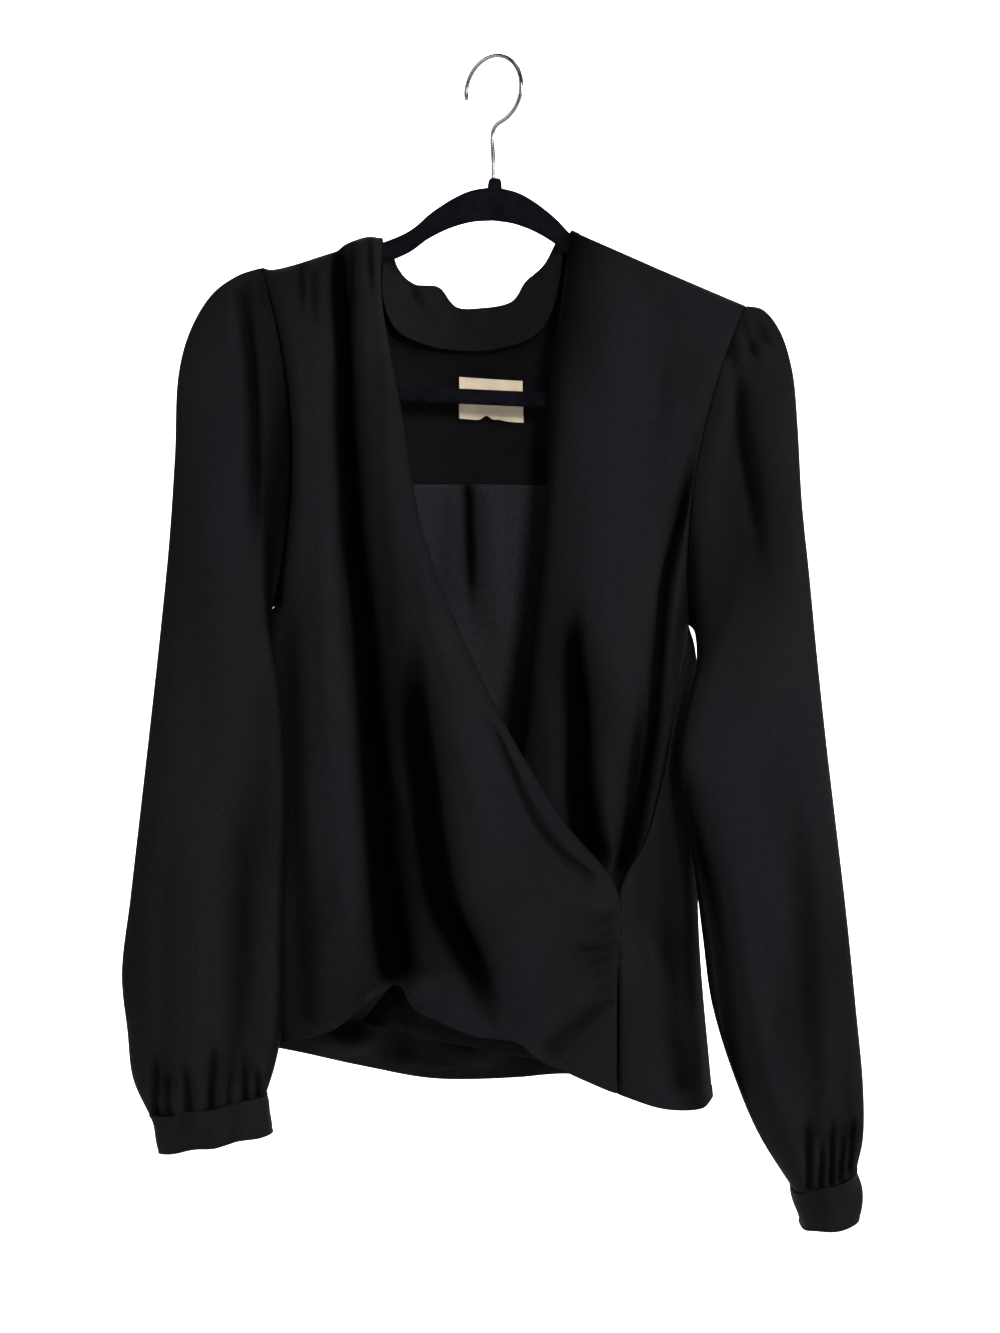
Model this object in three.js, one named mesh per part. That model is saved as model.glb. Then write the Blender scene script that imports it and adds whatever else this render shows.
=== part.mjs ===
// A long-sleeved wrap blouse on its slim flocked hanger: right front wrapped over left, side panel, yoked
// back with an inverted pleat, back collar, full sleeves gathered into cuffs, bare label, hanger, wire hook.
// Millimetres. +Z is up, the front faces -Y, +X is to the wearer's left.
// The origin is the inside top of the hook.
import * as THREE from "three";

// ---- Driving sizes ----

const cloth = { wall: 1.2, seamGap: 0.4 };

// Shoulders, underarms and side seams, seen from the front. "right" is the wearer's right.
const body = {
  right: { shoulder: [-169, -154], neck: [-81, -128.5], underarm: [-160, -400], hem: [-170, -726] },
  left: { shoulder: [184, -182], neck: [57, -121.5], underarm: [144, -415], hem: [162, -763] },
};

const bluntness = 0.7; // how square the folded edges of a sleeve are: 1 is an ellipse, less is blunter
const armholeCells = 10; // round half an armhole, from the shoulder to the underarm
const yokeCells = 6; // of those, the cells that the back yoke takes

const hanger = {
  halfWidth: 215,
  thick: 5.5,
  arm: 16,
  bar: 11,
  apex: [1, -93],
  archHalf: 62,
  archDrop: 37,
  armSlope: 0.41,
  barBottom: -161,
  noseRadius: 31,
  bevel: 1.4,
  clearance: 1.6,
  roll: THREE.MathUtils.degToRad(2.6),
  nub: { halfWidth: 4.8, height: 5 },
};

const hook = { wire: 3.4, bend: 25, yaw: THREE.MathUtils.degToRad(36), footBend: 9 };

const label = { width: 47, height: 31, top: -232, wall: 1, centre: -2 };

const colours = { crepe: 0x17171a, flock: 0x0c0e12, steel: 0x9a9c9e, label: 0xd9cfb8 };

// ---- Curves and small formulas ----

const point = (x, y, z) => new THREE.Vector3(x, y, z);
const lerp = THREE.MathUtils.lerp;
const clamp01 = (t) => THREE.MathUtils.clamp(t, 0, 1);

// Points spread evenly, or at the given shares of its length, along a smooth curve through the given points.
function along(points, cellsOrShares) {
  const curve = new THREE.CatmullRomCurve3(points, false, "centripetal");
  const shares = Array.isArray(cellsOrShares)
    ? cellsOrShares
    : Array.from({ length: cellsOrShares + 1 }, (_, i) => i / cellsOrShares);
  return shares.map((share) => curve.getPointAt(share));
}

// A value read from a table of rows by height, straight between rows and held beyond the ends.
function atHeight(rows, z, column) {
  if (z >= rows[0].z) return rows[0][column];
  for (let i = 1; i < rows.length; i++) {
    const [a, b] = [rows[i - 1], rows[i]];
    if (z >= b.z) return lerp(a[column], b[column], (a.z - z) / (a.z - b.z));
  }
  return rows[rows.length - 1][column];
}

// How far a cloth edge has rounded over, from 0 at the edge to 1 where the face runs flat.
function rounded(share, reach) {
  if (!reach) return 1;
  const t = 1 - clamp01(share / reach);
  return Math.sqrt(1 - t * t);
}

// The push of all folds at a place. A fold runs down its path, a bell across, and fades at both ends.
function foldPush(folds, x, z) {
  let push = 0;
  for (const { path, width, depth, fadeTop = 30, fadeBottom = 30 } of folds) {
    const rows = path.map(([px, pz]) => ({ x: px, z: pz }));
    const [top, bottom] = [rows[0].z, rows[rows.length - 1].z];
    const ends = clamp01(1 + (top - z) / fadeTop) * clamp01(1 + (z - bottom) / fadeBottom);
    const across = (x - atHeight(rows, z, "x")) / width;
    push += depth * ends * Math.exp(-across * across);
  }
  return push;
}

// ---- Cloth walls ----

// A closed wall from rows of outer points: an inner skin one wall further in, and rims round the open edges.
// Rows run down and columns run left to right as seen from outside; "inwardAt" may fix a corner's own way in.
function wallGeometry(rows, { closed = false, wall = cloth.wall, inwardAt = () => null } = {}) {
  const down = rows.length;
  const across = rows[0].length;
  const column = (i) => (closed ? (i + across) % across : THREE.MathUtils.clamp(i, 0, across - 1));
  const row = (j) => THREE.MathUtils.clamp(j, 0, down - 1);
  const positions = [];
  rows.forEach((line) => line.forEach((p) => positions.push(p.x, p.y, p.z)));
  for (let j = 0; j < down; j++) {
    for (let i = 0; i < across; i++) {
      const sideways = rows[j][column(i + 1)].clone().sub(rows[j][column(i - 1)]);
      const downwards = rows[row(j + 1)][i].clone().sub(rows[row(j - 1)][i]);
      const inward = inwardAt(i, j) ?? sideways.cross(downwards).normalize();
      const p = rows[j][i].clone().addScaledVector(inward, wall);
      positions.push(p.x, p.y, p.z);
    }
  }
  const outer = (i, j) => j * across + column(i);
  const inner = (i, j) => down * across + outer(i, j);
  const index = [];
  const quad = (a, b, c, d) => index.push(a, b, c, a, c, d);
  const cells = closed ? across : across - 1;
  for (let j = 0; j < down - 1; j++) {
    for (let i = 0; i < cells; i++) {
      quad(outer(i, j), outer(i, j + 1), outer(i + 1, j + 1), outer(i + 1, j));
      quad(inner(i, j), inner(i + 1, j), inner(i + 1, j + 1), inner(i, j + 1));
    }
  }
  for (let i = 0; i < cells; i++) {
    quad(outer(i, 0), outer(i + 1, 0), inner(i + 1, 0), inner(i, 0));
    quad(outer(i, down - 1), inner(i, down - 1), inner(i + 1, down - 1), outer(i + 1, down - 1));
  }
  for (let j = 0; j < down - 1 && !closed; j++) {
    quad(outer(0, j), inner(0, j), inner(0, j + 1), outer(0, j + 1));
    quad(outer(cells, j), outer(cells, j + 1), inner(cells, j + 1), inner(cells, j));
  }
  const geometry = new THREE.BufferGeometry();
  geometry.setAttribute("position", new THREE.Float32BufferAttribute(positions, 3));
  geometry.setIndex(index);
  geometry.computeVertexNormals();
  return geometry;
}

// Above the foot of the hanger the cloth lies outside it, with room for its own wall.
function clearOfHanger(p, out) {
  const least = hanger.thick / 2 + cloth.wall + hanger.clearance;
  const footRoom = 30;
  if (p.z > hanger.apex[1] + hanger.barBottom - footRoom && out * p.y < least) p.y = out * least;
  return p;
}

// A cut piece of cloth between four edges, blended so that it meets each of them (a Coons patch), then
// bellied out, rounded over near the edges it has a turn for, and pushed in along its folds.
// "out" is -1 to the front.
function panelRows({ top, bottom, left, right, belly, turn = {}, folds = [], out }) {
  const height = left[0].distanceTo(left[left.length - 1]);
  return left.map((leftPoint, j) => {
    const v = leftPoint.distanceTo(left[0]) / height;
    return top.map((topPoint, i) => {
      const u = i / (top.length - 1);
      const p = topPoint.clone().lerp(bottom[i], v).add(leftPoint.clone().lerp(right[j], u));
      const topLine = top[0].clone().lerp(top[top.length - 1], u);
      const bottomLine = bottom[0].clone().lerp(bottom[bottom.length - 1], u);
      p.sub(topLine.lerp(bottomLine, v));
      const sideways = rounded(u, turn.left) * rounded(1 - u, turn.right);
      const rounding = sideways * rounded(v, turn.top) * rounded(1 - v, turn.bottom);
      p.y += out * rounding * (atHeight(belly, p.z, "out") - foldPush(folds, p.x, p.z));
      return j > 0 ? clearOfHanger(p, out) : p;
    });
  });
}

// Moves the sewn edges of a piece back by half a seam gap each, toward the next line of points.
function easeSeams(rows, { top, bottom, left, right }) {
  const ease = (p, next) => p.addScaledVector(next.clone().sub(p).normalize(), cloth.seamGap / 2);
  const last = rows.length - 1;
  if (top) rows[0].forEach((p, i) => ease(p, rows[1][i]));
  if (bottom) rows[last].forEach((p, i) => ease(p, rows[last - 1][i]));
  if (left) rows.forEach((line) => ease(line[0], line[1]));
  if (right) rows.forEach((line) => ease(line[line.length - 1], line[line.length - 2]));
  return rows;
}

// ---- Sleeve sections ----

// One section of a sleeve, a flattened loop in the plane of its outer fold, inner fold and the depth axis.
// It starts at the outer fold and runs anticlockwise seen from above, so the front runs left to right.
function sectionLoop({ outer, inner, y, front, back, bow = 0, side }, count) {
  return Array.from({ length: count }, (_, k) => {
    const angle = (2 * Math.PI * k) / count;
    const share = (1 - Math.cos(angle)) / 2;
    const depth = Math.abs(Math.sin(angle)) ** bluntness;
    const atFront = (Math.sin(angle) > 0) === (side < 0);
    const bowed = -side * bow * 4 * share * (1 - share);
    return point(
      lerp(outer[0], inner[0], share) + bowed,
      lerp(y[0], y[1], share) + (atFront ? -front * depth : back * depth),
      lerp(outer[1], inner[1], share),
    );
  });
}

const sleeves = {
  right: {
    side: -1,
    armhole: {
      outer: body.right.shoulder, inner: body.right.underarm, y: [0, 11], front: 16, back: 12, bow: 18,
    },
    sections: [
      { outer: [-187, -160], inner: [-163, -404], y: [0, 2], front: 18, back: 17, bow: 12 },
      { outer: [-205, -173], inner: [-163, -410], y: [0, -4], front: 20, back: 17, bow: 8 },
      { outer: [-221, -199], inner: [-162, -420], y: [-1, -12], front: 21, back: 16, bow: 3 },
      { outer: [-230, -232], inner: [-159, -434], y: [-2, -20], front: 22, back: 16, bow: 0 },
      { outer: [-232, -290], inner: [-154, -457], y: [-6, -26], front: 25, back: 17, bow: 0 },
      { outer: [-235, -352], inner: [-150, -488], y: [-13, -30], front: 27, back: 18, bow: 0 },
      { outer: [-240, -415], inner: [-148, -522], y: [-20, -32], front: 29, back: 20, bow: 0 },
      { outer: [-246, -478], inner: [-148, -560], y: [-26, -31], front: 29, back: 23, bow: 0 },
      { outer: [-253, -545], inner: [-149, -598], y: [-30, -33], front: 30, back: 24, bow: 0 },
      { outer: [-260, -610], inner: [-150, -638], y: [-33, -34], front: 31, back: 26, bow: 0 },
      { outer: [-266, -665], inner: [-150, -676], y: [-34, -34], front: 32, back: 27, bow: 0 },
      { outer: [-262, -706], inner: [-152, -708], y: [-34, -34], front: 31, back: 27, bow: 0 },
      { outer: [-258, -740], inner: [-157, -733], y: [-34, -34], front: 28, back: 26, bow: 0 },
      { outer: [-246, -767], inner: [-163, -752], y: [-34, -34], front: 23, back: 22, bow: 0 },
    ],
    cuff: [
      { outer: [-243, -781], inner: [-160, -767], y: [-34, -34], front: 24, back: 23 },
      { outer: [-239, -793], inner: [-159, -779], y: [-34, -34], front: 23, back: 22 },
    ],
    folds: [
      {
        path: [[-179, -165], [-178, -270], [-174, -360], [-174, -470]],
        width: 11, depth: 17, fadeBottom: 90,
      },
      { path: [[-181, -510], [-186, -620], [-189, -690], [-206, -755]], width: 12, depth: 14, fadeTop: 70 },
      { path: [[-226, -560], [-232, -650], [-232, -745]], width: 9, depth: 7, fadeTop: 60 },
    ],
  },
  left: {
    side: 1,
    armhole: {
      outer: body.left.shoulder, inner: body.left.underarm, y: [0, 11], front: 16, back: 12, bow: 16,
    },
    sections: [
      { outer: [197, -185], inner: [147, -419], y: [0, 3], front: 18, back: 17, bow: 12 },
      { outer: [209, -200], inner: [148, -425], y: [0, -2], front: 20, back: 17, bow: 8 },
      { outer: [218, -228], inner: [148, -433], y: [-1, -9], front: 21, back: 17, bow: 4 },
      { outer: [222, -266], inner: [147, -445], y: [-2, -18], front: 22, back: 16, bow: 0 },
      { outer: [225, -325], inner: [142, -462], y: [-5, -30], front: 22, back: 16, bow: 0 },
      { outer: [230, -380], inner: [135, -490], y: [-9, -39], front: 23, back: 18, bow: 0 },
      { outer: [235, -440], inner: [132, -517], y: [-14, -42], front: 25, back: 20, bow: 0 },
      { outer: [241, -502], inner: [138, -556], y: [-18, -38], front: 28, back: 22, bow: 0 },
      { outer: [248, -565], inner: [145, -596], y: [-21, -32], front: 30, back: 25, bow: 0 },
      { outer: [255, -628], inner: [151, -640], y: [-23, -25], front: 32, back: 28, bow: 0 },
      { outer: [261, -690], inner: [158, -690], y: [-24, -26], front: 34, back: 30, bow: 0 },
      { outer: [266, -745], inner: [174, -742], y: [-24, -26], front: 36, back: 33, bow: 0 },
      { outer: [266, -782], inner: [192, -784], y: [-24, -25], front: 38, back: 35, bow: 0 },
      { outer: [261, -805], inner: [216, -822], y: [-24, -24], front: 36, back: 34, bow: 0 },
    ],
    cuff: [
      { outer: [265, -821], inner: [218, -835], y: [-24, -24], front: 37, back: 35 },
      { outer: [262, -840], inner: [222, -849], y: [-24, -24], front: 35, back: 33 },
    ],
    folds: [
      { path: [[177, -205], [184, -250], [190, -300]], width: 10, depth: 10, fadeBottom: 60 },
      { path: [[218, -510], [223, -620], [229, -700], [228, -800]], width: 11, depth: 12, fadeTop: 80 },
      { path: [[146, -540], [160, -620], [176, -700], [192, -780]], width: 10, depth: 10, fadeTop: 60 },
    ],
  },
};

const loopCount = 2 * armholeCells;

// The armhole as the body pieces meet it: its front and its back half, each from shoulder to underarm.
function armhole(name) {
  const { side, armhole: section } = sleeves[name];
  const loop = sectionLoop({ ...section, side }, loopCount);
  const first = loop.slice(0, armholeCells + 1);
  const second = [loop[0], ...loop.slice(armholeCells).reverse()];
  return side < 0 ? { front: first, back: second } : { front: second, back: first };
}

const armholes = { right: armhole("right"), left: armhole("left") };

// The way in through the wall at an armhole: down at the shoulder and level elsewhere, so that the edges of
// both pieces agree.
function armholeInward(cell, isFront) {
  const dip = cell === 0 ? -1 : 0;
  return point(0, dip ? 0 : isFront ? 1 : -1, dip);
}

// ---- Body pieces ----

const sideCells = 16; // down a side seam, from the underarm to the hem
const lerpPoint = (a, b, t) => a.clone().lerp(b, t);

const sideSeams = {
  right: along(
    [
      armholes.right.front[armholeCells],
      point(-167, 12, -470),
      point(-172, 14, -600),
      point(body.right.hem[0], 16, body.right.hem[1]),
    ],
    sideCells,
  ),
  left: along(
    [
      armholes.left.front[armholeCells],
      point(146, 13, -507),
      point(151, 15, -644),
      point(body.left.hem[0], 16, body.left.hem[1]),
    ],
    sideCells,
  ),
};

const shoulderPoint = ([x, z]) => point(x, 0, z);
const shares = (edge) => edge.map((p) => p.distanceTo(edge[0]) / edge[edge.length - 1].distanceTo(edge[0]));

// The right front, wrapped over the left one and sewn down at the short wrap seam.
const over = {
  columns: 14,
  wrapSeam: { x: 89, top: -606, bottom: -751, y: -38 },
  belly: [
    { z: -130, out: 10 },
    { z: -200, out: 14 },
    { z: -300, out: 17 },
    { z: -420, out: 20 },
    { z: -560, out: 18 },
    { z: -740, out: 14 },
  ],
  folds: [
    { path: [[-112, -150], [-108, -251], [-104, -368], [-91, -506], [-70, -690]], width: 15, depth: 19 },
    { path: [[-58, -410], [-48, -498], [-39, -564], [-22, -650], [-2, -715]], width: 15, depth: 16 },
    { path: [[14, -500], [50, -580], [64, -620]], width: 13, depth: 7 },
    { path: [[-138, -300], [-140, -450], [-136, -600], [-132, -715]], width: 13, depth: 8 },
  ],
};

// The left front: its bare edge runs under the right one, down to the corner that shows at the hem.
const under = {
  columns: 10,
  belly: [
    { z: -125, out: 9 },
    { z: -200, out: 10 },
    { z: -330, out: 12 },
    { z: -480, out: 13 },
    { z: -560, out: 6 },
    { z: -640, out: 0 },
  ],
  folds: [
    { path: [[61, -395], [56, -470], [62, -560]], width: 12, depth: 8 },
    { path: [[121, -366], [107, -470], [92, -560]], width: 12, depth: 8 },
    { path: [[140, -270], [134, -340], [126, -400]], width: 11, depth: 5 },
  ],
};

function overFront() {
  const seam = over.wrapSeam;
  const left = [...armholes.right.front, ...sideSeams.right.slice(1)];
  const right = along(
    [
      shoulderPoint(body.right.neck),
      point(-81, -14, -178),
      point(-66, -20, -262),
      point(-50, -27, -350),
      point(-5, -35, -461),
      point(50, -40, -555),
      point(seam.x, seam.y, seam.top),
      point(seam.x, seam.y, (seam.top + seam.bottom) / 2),
      point(seam.x, seam.y, seam.bottom),
    ],
    shares(left),
  );
  const top = along([left[0], right[0]], over.columns);
  const bottom = along(
    [
      left[left.length - 1],
      point(-138, -14, -715),
      point(-84, -26, -704),
      point(-64, -20, -680),
      point(-44, -38, -703),
      point(12, -40, -712),
      point(44, -40, -731),
      point(seam.x, seam.y, seam.bottom),
    ],
    over.columns,
  );
  const rows = panelRows({
    top, bottom, left, right, out: -1, belly: over.belly, folds: over.folds,
    turn: { left: 0.16, top: 0.06 },
  });
  easeSeams(rows, { top: true, left: true });
  return wallGeometry(rows, {
    inwardAt: (i, j) => {
      if (j === 0) return point(0, 0, -1);
      if (i > 0) return null;
      return j < armholeCells ? armholeInward(j, true) : point(1, 0, 0);
    },
  });
}

// Where the side panel is let in: from the underarm, down the left front's edge, to the wrap seam's foot.
const sidePanelEdge = along(
  [
    point(141, 0, -432),
    point(132, -20, -470),
    point(121, -27, -528),
    point(109, -31, -571),
    point(91, -33, -607),
    point(91, -34, -680),
    point(91, -34, -751),
  ],
  sideCells,
);

function underFront() {
  const strip = along(
    [
      point(141, 0, -430),
      point(131.5, -20, -470),
      point(119.5, -28, -530),
      point(88, -25, -607),
      point(86, -20, -680),
      point(84, -18, -740),
    ],
    sideCells - 1,
  );
  const right = [...armholes.left.front, ...strip];
  const left = along(
    [
      shoulderPoint(body.left.neck),
      point(50, -9, -179),
      point(41, -13, -252),
      point(38, -16, -330),
      point(29, -18, -426),
      point(19, -18, -506),
      point(-2, -14, -571),
      point(-39, -8, -632),
      point(-96, -6, -705),
    ],
    shares(right),
  );
  const top = along([left[0], right[0]], under.columns);
  const bottom = along([left[left.length - 1], point(-20, -8, -722), right[right.length - 1]], under.columns);
  const rows = panelRows({
    top, bottom, left, right, out: -1, belly: under.belly, folds: under.folds,
    turn: { right: 0.16, top: 0.06 },
  });
  easeSeams(rows, { top: true, right: true });
  return wallGeometry(rows, {
    inwardAt: (i, j) => {
      if (j === 0) return point(0, 0, -1);
      if (i < under.columns || j > armholeCells) return null;
      return j < armholeCells ? armholeInward(j, true) : point(-1, 0, 0);
    },
  });
}

function sidePanel() {
  const columns = 5;
  const left = sidePanelEdge;
  const right = sideSeams.left.map((p, j) => (j ? p : point(144, 9, -424)));
  const top = along([left[0], right[0]], columns);
  const bottom = along([left[left.length - 1], point(122, -34, -762), point(150, -12, -766),
    right[right.length - 1]], columns);
  const rows = panelRows({
    top, bottom, left, right, out: -1,
    belly: [{ z: -430, out: 0 }, { z: -560, out: 6 }, { z: -760, out: 6 }],
    turn: { right: 0.4, left: 0.2 },
    folds: [{ path: [[124, -600], [128, -680], [138, -755]], width: 8, depth: 6 }],
  });
  easeSeams(rows, { left: true, right: true });
  return wallGeometry(rows, {
    inwardAt: (i) => (i === columns ? point(-1, 0, 0) : i === 0 ? point(0, 1, 0) : null),
  });
}

// ---- Back pieces. Their columns run from the wearer's left to right, so that they face outwards. ----

const backColumns = 18;

const yokeSeam = along(
  [
    armholes.left.back[yokeCells],
    point(108, 22, -318),
    point(38, 22, -311),
    point(-58, 22, -310),
    point(-113, 22, -311),
    armholes.right.back[yokeCells],
  ],
  backColumns,
);

// The back neck and both shoulders, from the left shoulder over the neck to the right shoulder.
const neckCurve = [
  point(53, 6, -130),
  point(45, 9, -178),
  point(31, 13, -200),
  point(5, 16, -209),
  point(-17, 16, -211),
  point(-45, 15, -208),
  point(-72, 12, -196),
  point(-82, 9, -172),
  point(-81, 6, -135),
];
const shoulderColumns = 4;
const neckColumns = backColumns - 2 * shoulderColumns - 2;
const backNeck = along(neckCurve, neckColumns);

function backYoke() {
  const leftShoulder = along([armholes.left.back[0], shoulderPoint(body.left.neck)], shoulderColumns);
  const rightShoulder = along([shoulderPoint(body.right.neck), armholes.right.back[0]], shoulderColumns);
  const top = [...leftShoulder, ...backNeck, ...rightShoulder];
  const left = armholes.left.back.slice(0, yokeCells + 1);
  const right = armholes.right.back.slice(0, yokeCells + 1);
  const rows = panelRows({
    top, bottom: yokeSeam, left, right, out: 1,
    belly: [{ z: -130, out: 8 }, { z: -200, out: 5 }, { z: -320, out: 5 }],
    turn: { top: 0.15, bottom: 0.3, left: 0.1, right: 0.1 },
  });
  easeSeams(rows, { top: true, bottom: true, left: true, right: true });
  const last = rows[0].length - 1;
  const inwardAt = (i, j) => {
    const onShoulder = i <= shoulderColumns || i >= last - shoulderColumns;
    if (j === 0 && onShoulder) return point(0, 0, -1);
    return i === 0 || i === last ? armholeInward(j, false) : null;
  };
  return { rows, geometry: wallGeometry(rows, { inwardAt }) };
}

function backBody() {
  const left = [...armholes.left.back.slice(yokeCells), ...sideSeams.left.slice(1)];
  const right = [...armholes.right.back.slice(yokeCells), ...sideSeams.right.slice(1)];
  const bottom = along(
    [
      left[left.length - 1],
      point(109, 38, -759),
      point(58, 44, -753),
      point(16, 42, -755),
      point(-40, 45, -757),
      point(-100, 40, -746),
      right[right.length - 1],
    ],
    backColumns,
  );
  const rows = panelRows({
    top: yokeSeam, bottom, left, right, out: 1,
    belly: [
      { z: -316, out: 4 },
      { z: -420, out: 9 },
      { z: -540, out: 13 },
      { z: -660, out: 14 },
      { z: -757, out: 8 },
    ],
    turn: { left: 0.14, right: 0.14, top: 0.05 },
    folds: [
      { path: [[-17, -300], [-15, -415]], width: 11, depth: 9, fadeTop: 10, fadeBottom: 80 },
      { path: [[-95, -420], [-100, -560], [-108, -740]], width: 14, depth: 12, fadeTop: 80 },
      { path: [[70, -430], [78, -580], [86, -755]], width: 14, depth: 12, fadeTop: 80 },
      { path: [[-30, -520], [-22, -640], [-14, -750]], width: 13, depth: 9, fadeTop: 80 },
    ],
  });
  easeSeams(rows, { top: true, left: true, right: true });
  const last = rows[0].length - 1;
  const cellsToUnderarm = armholeCells - yokeCells;
  const inwardAt = (i, j) => {
    if (i !== 0 && i !== last) return null;
    if (j < cellsToUnderarm) return armholeInward(1, false);
    return point(i === 0 ? -1 : 1, 0, 0);
  };
  return wallGeometry(rows, { inwardAt });
}

// The collar stands on the back neck, leans outwards at the top, and ends at the shoulder seams.
function backCollar() {
  const neckCentre = point(-14, 0, -120);
  const bottom = backNeck.map((p) => {
    const inwards = neckCentre.clone().sub(p).setY(0).normalize();
    return p.clone().addScaledVector(inwards, 2 * cloth.seamGap);
  });
  const top = along(
    [
      point(47, 7, -131.5),
      point(37, 13, -149),
      point(24, 20, -160),
      point(14, 25, -174),
      point(-10, 27, -179),
      point(-28, 27, -178),
      point(-40, 25, -164),
      point(-58, 20, -162),
      point(-70, 12, -152),
      point(-75, 7, -138),
    ],
    neckColumns,
  );
  const rowCells = 3;
  const rows = Array.from({ length: rowCells + 1 }, (_, j) => {
    const v = j / rowCells;
    return top.map((p, i) => lerpPoint(p, bottom[i], v).add(point(0, 3 * Math.sin(Math.PI * v), 0)));
  });
  return wallGeometry(rows);
}

// ---- Sleeves, cuffs and label ----

function sleeveRows(name, sections, folds) {
  const { side } = sleeves[name];
  return sections.map((section) =>
    sectionLoop({ ...section, side }, loopCount).map((p, k) => {
      const onFront = (k > 0 && k < armholeCells) === side < 0 && k !== 0 && k !== armholeCells;
      if (!onFront) return p;
      p.y += foldPush(folds, p.x, p.z);
      return clearOfHanger(p, -1);
    }),
  );
}

function sleeve(name) {
  const { side, armhole: opening, sections, folds } = sleeves[name];
  const rows = sleeveRows(name, [opening, ...sections], folds);
  rows[0] = sectionLoop({ ...opening, side }, loopCount);
  easeSeams(rows, { top: true, bottom: true });
  const inwardAt = (k, j) => {
    if (j > 0) return null;
    if (k === 0) return point(0, 0, -1);
    if (k === armholeCells) return point(side, 0, 1).normalize();
    return armholeInward(1, (k < armholeCells) === side < 0);
  };
  return wallGeometry(rows, { closed: true, inwardAt });
}

function cuff(name) {
  const { sections, cuff: below } = sleeves[name];
  const rows = sleeveRows(name, [sections[sections.length - 1], ...below], []);
  return wallGeometry(easeSeams(rows, { top: true }), { closed: true });
}

// The label lies on the inside of the yoke, made from the yoke's own depth at each place and moved out.
function neckLabel(yokeRows) {
  const depthAt = (x, z) => {
    let nearest = yokeRows[0][0];
    for (const p of yokeRows.flat()) {
      if (Math.hypot(p.x - x, p.z - z) < Math.hypot(nearest.x - x, nearest.z - z)) nearest = p;
    }
    return nearest.y;
  };
  const inFront = cloth.wall + label.wall + 3 * cloth.seamGap;
  const columns = [-0.5, -0.17, 0.17, 0.5];
  const rows = [0, 0.5, 1].map((v) =>
    columns.map((u) => {
      const x = label.centre + u * label.width;
      const z = label.top - v * label.height - u * 3;
      const bowed = 1.2 * Math.sin(Math.PI * v);
      return point(x, Math.min(...[-1, 0, 1].map((s) => depthAt(x + 12 * s, z))) - inFront - bowed, z);
    }),
  );
  return wallGeometry(rows, { wall: label.wall });
}

// ---- Hanger and hook ----

// The flat outline: a nub and an arch in the middle, sloping arms, round noses and a straight bar below.
function hangerBody() {
  const { halfWidth, thick, arm, bar, archHalf, archDrop, armSlope, barBottom, noseRadius } = hanger;
  const { bevel, nub } = hanger;
  const noseX = halfWidth - noseRadius;
  const armEnd = -archDrop - (noseX - archHalf) * armSlope;
  const barMid = barBottom + noseRadius * 0.9;
  const outline = new THREE.Shape();
  outline.moveTo(-noseX, barBottom);
  outline.lineTo(noseX, barBottom);
  outline.bezierCurveTo(halfWidth - 6, barBottom, halfWidth, barBottom + 14, halfWidth, barMid);
  outline.bezierCurveTo(halfWidth, barMid + 14, noseX + 16, armEnd - 6, noseX, armEnd);
  outline.lineTo(archHalf, -archDrop);
  outline.quadraticCurveTo(archHalf * 0.45, -4, nub.halfWidth, -1.5);
  outline.lineTo(nub.halfWidth, nub.height);
  outline.lineTo(-nub.halfWidth, nub.height);
  outline.lineTo(-nub.halfWidth, -1.5);
  outline.quadraticCurveTo(-archHalf * 0.45, -4, -archHalf, -archDrop);
  outline.lineTo(-noseX, armEnd);
  outline.bezierCurveTo(-noseX - 16, armEnd - 6, -halfWidth, barMid + 14, -halfWidth, barMid);
  outline.bezierCurveTo(-halfWidth, barBottom + 14, -halfWidth + 6, barBottom, -noseX, barBottom);
  const gap = new THREE.Path();
  const holeX = noseX - 4;
  const holeEnd = armEnd - arm - 2;
  gap.moveTo(-holeX, barBottom + bar);
  gap.lineTo(holeX, barBottom + bar);
  gap.quadraticCurveTo(holeX + 18, barBottom + bar + 2, holeX + 10, holeEnd - 8);
  gap.quadraticCurveTo(holeX + 6, holeEnd - 2, holeX - 6, holeEnd + 4);
  gap.lineTo(archHalf, -archDrop - arm);
  gap.quadraticCurveTo(archHalf * 0.5, -26, 0, -26);
  gap.quadraticCurveTo(-archHalf * 0.5, -26, -archHalf, -archDrop - arm);
  gap.lineTo(-holeX + 6, holeEnd + 4);
  gap.quadraticCurveTo(-holeX - 6, holeEnd - 2, -holeX - 10, holeEnd - 8);
  gap.quadraticCurveTo(-holeX - 18, barBottom + bar + 2, -holeX, barBottom + bar);
  outline.holes.push(gap);
  const geometry = new THREE.ExtrudeGeometry(outline, { depth: thick - 2 * bevel, curveSegments: 8,
    bevelThickness: bevel, bevelSize: bevel, bevelOffset: -bevel, bevelSegments: 2 });
  geometry.translate(0, 0, bevel - thick / 2);
  geometry.rotateX(Math.PI / 2);
  return geometry;
}

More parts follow.
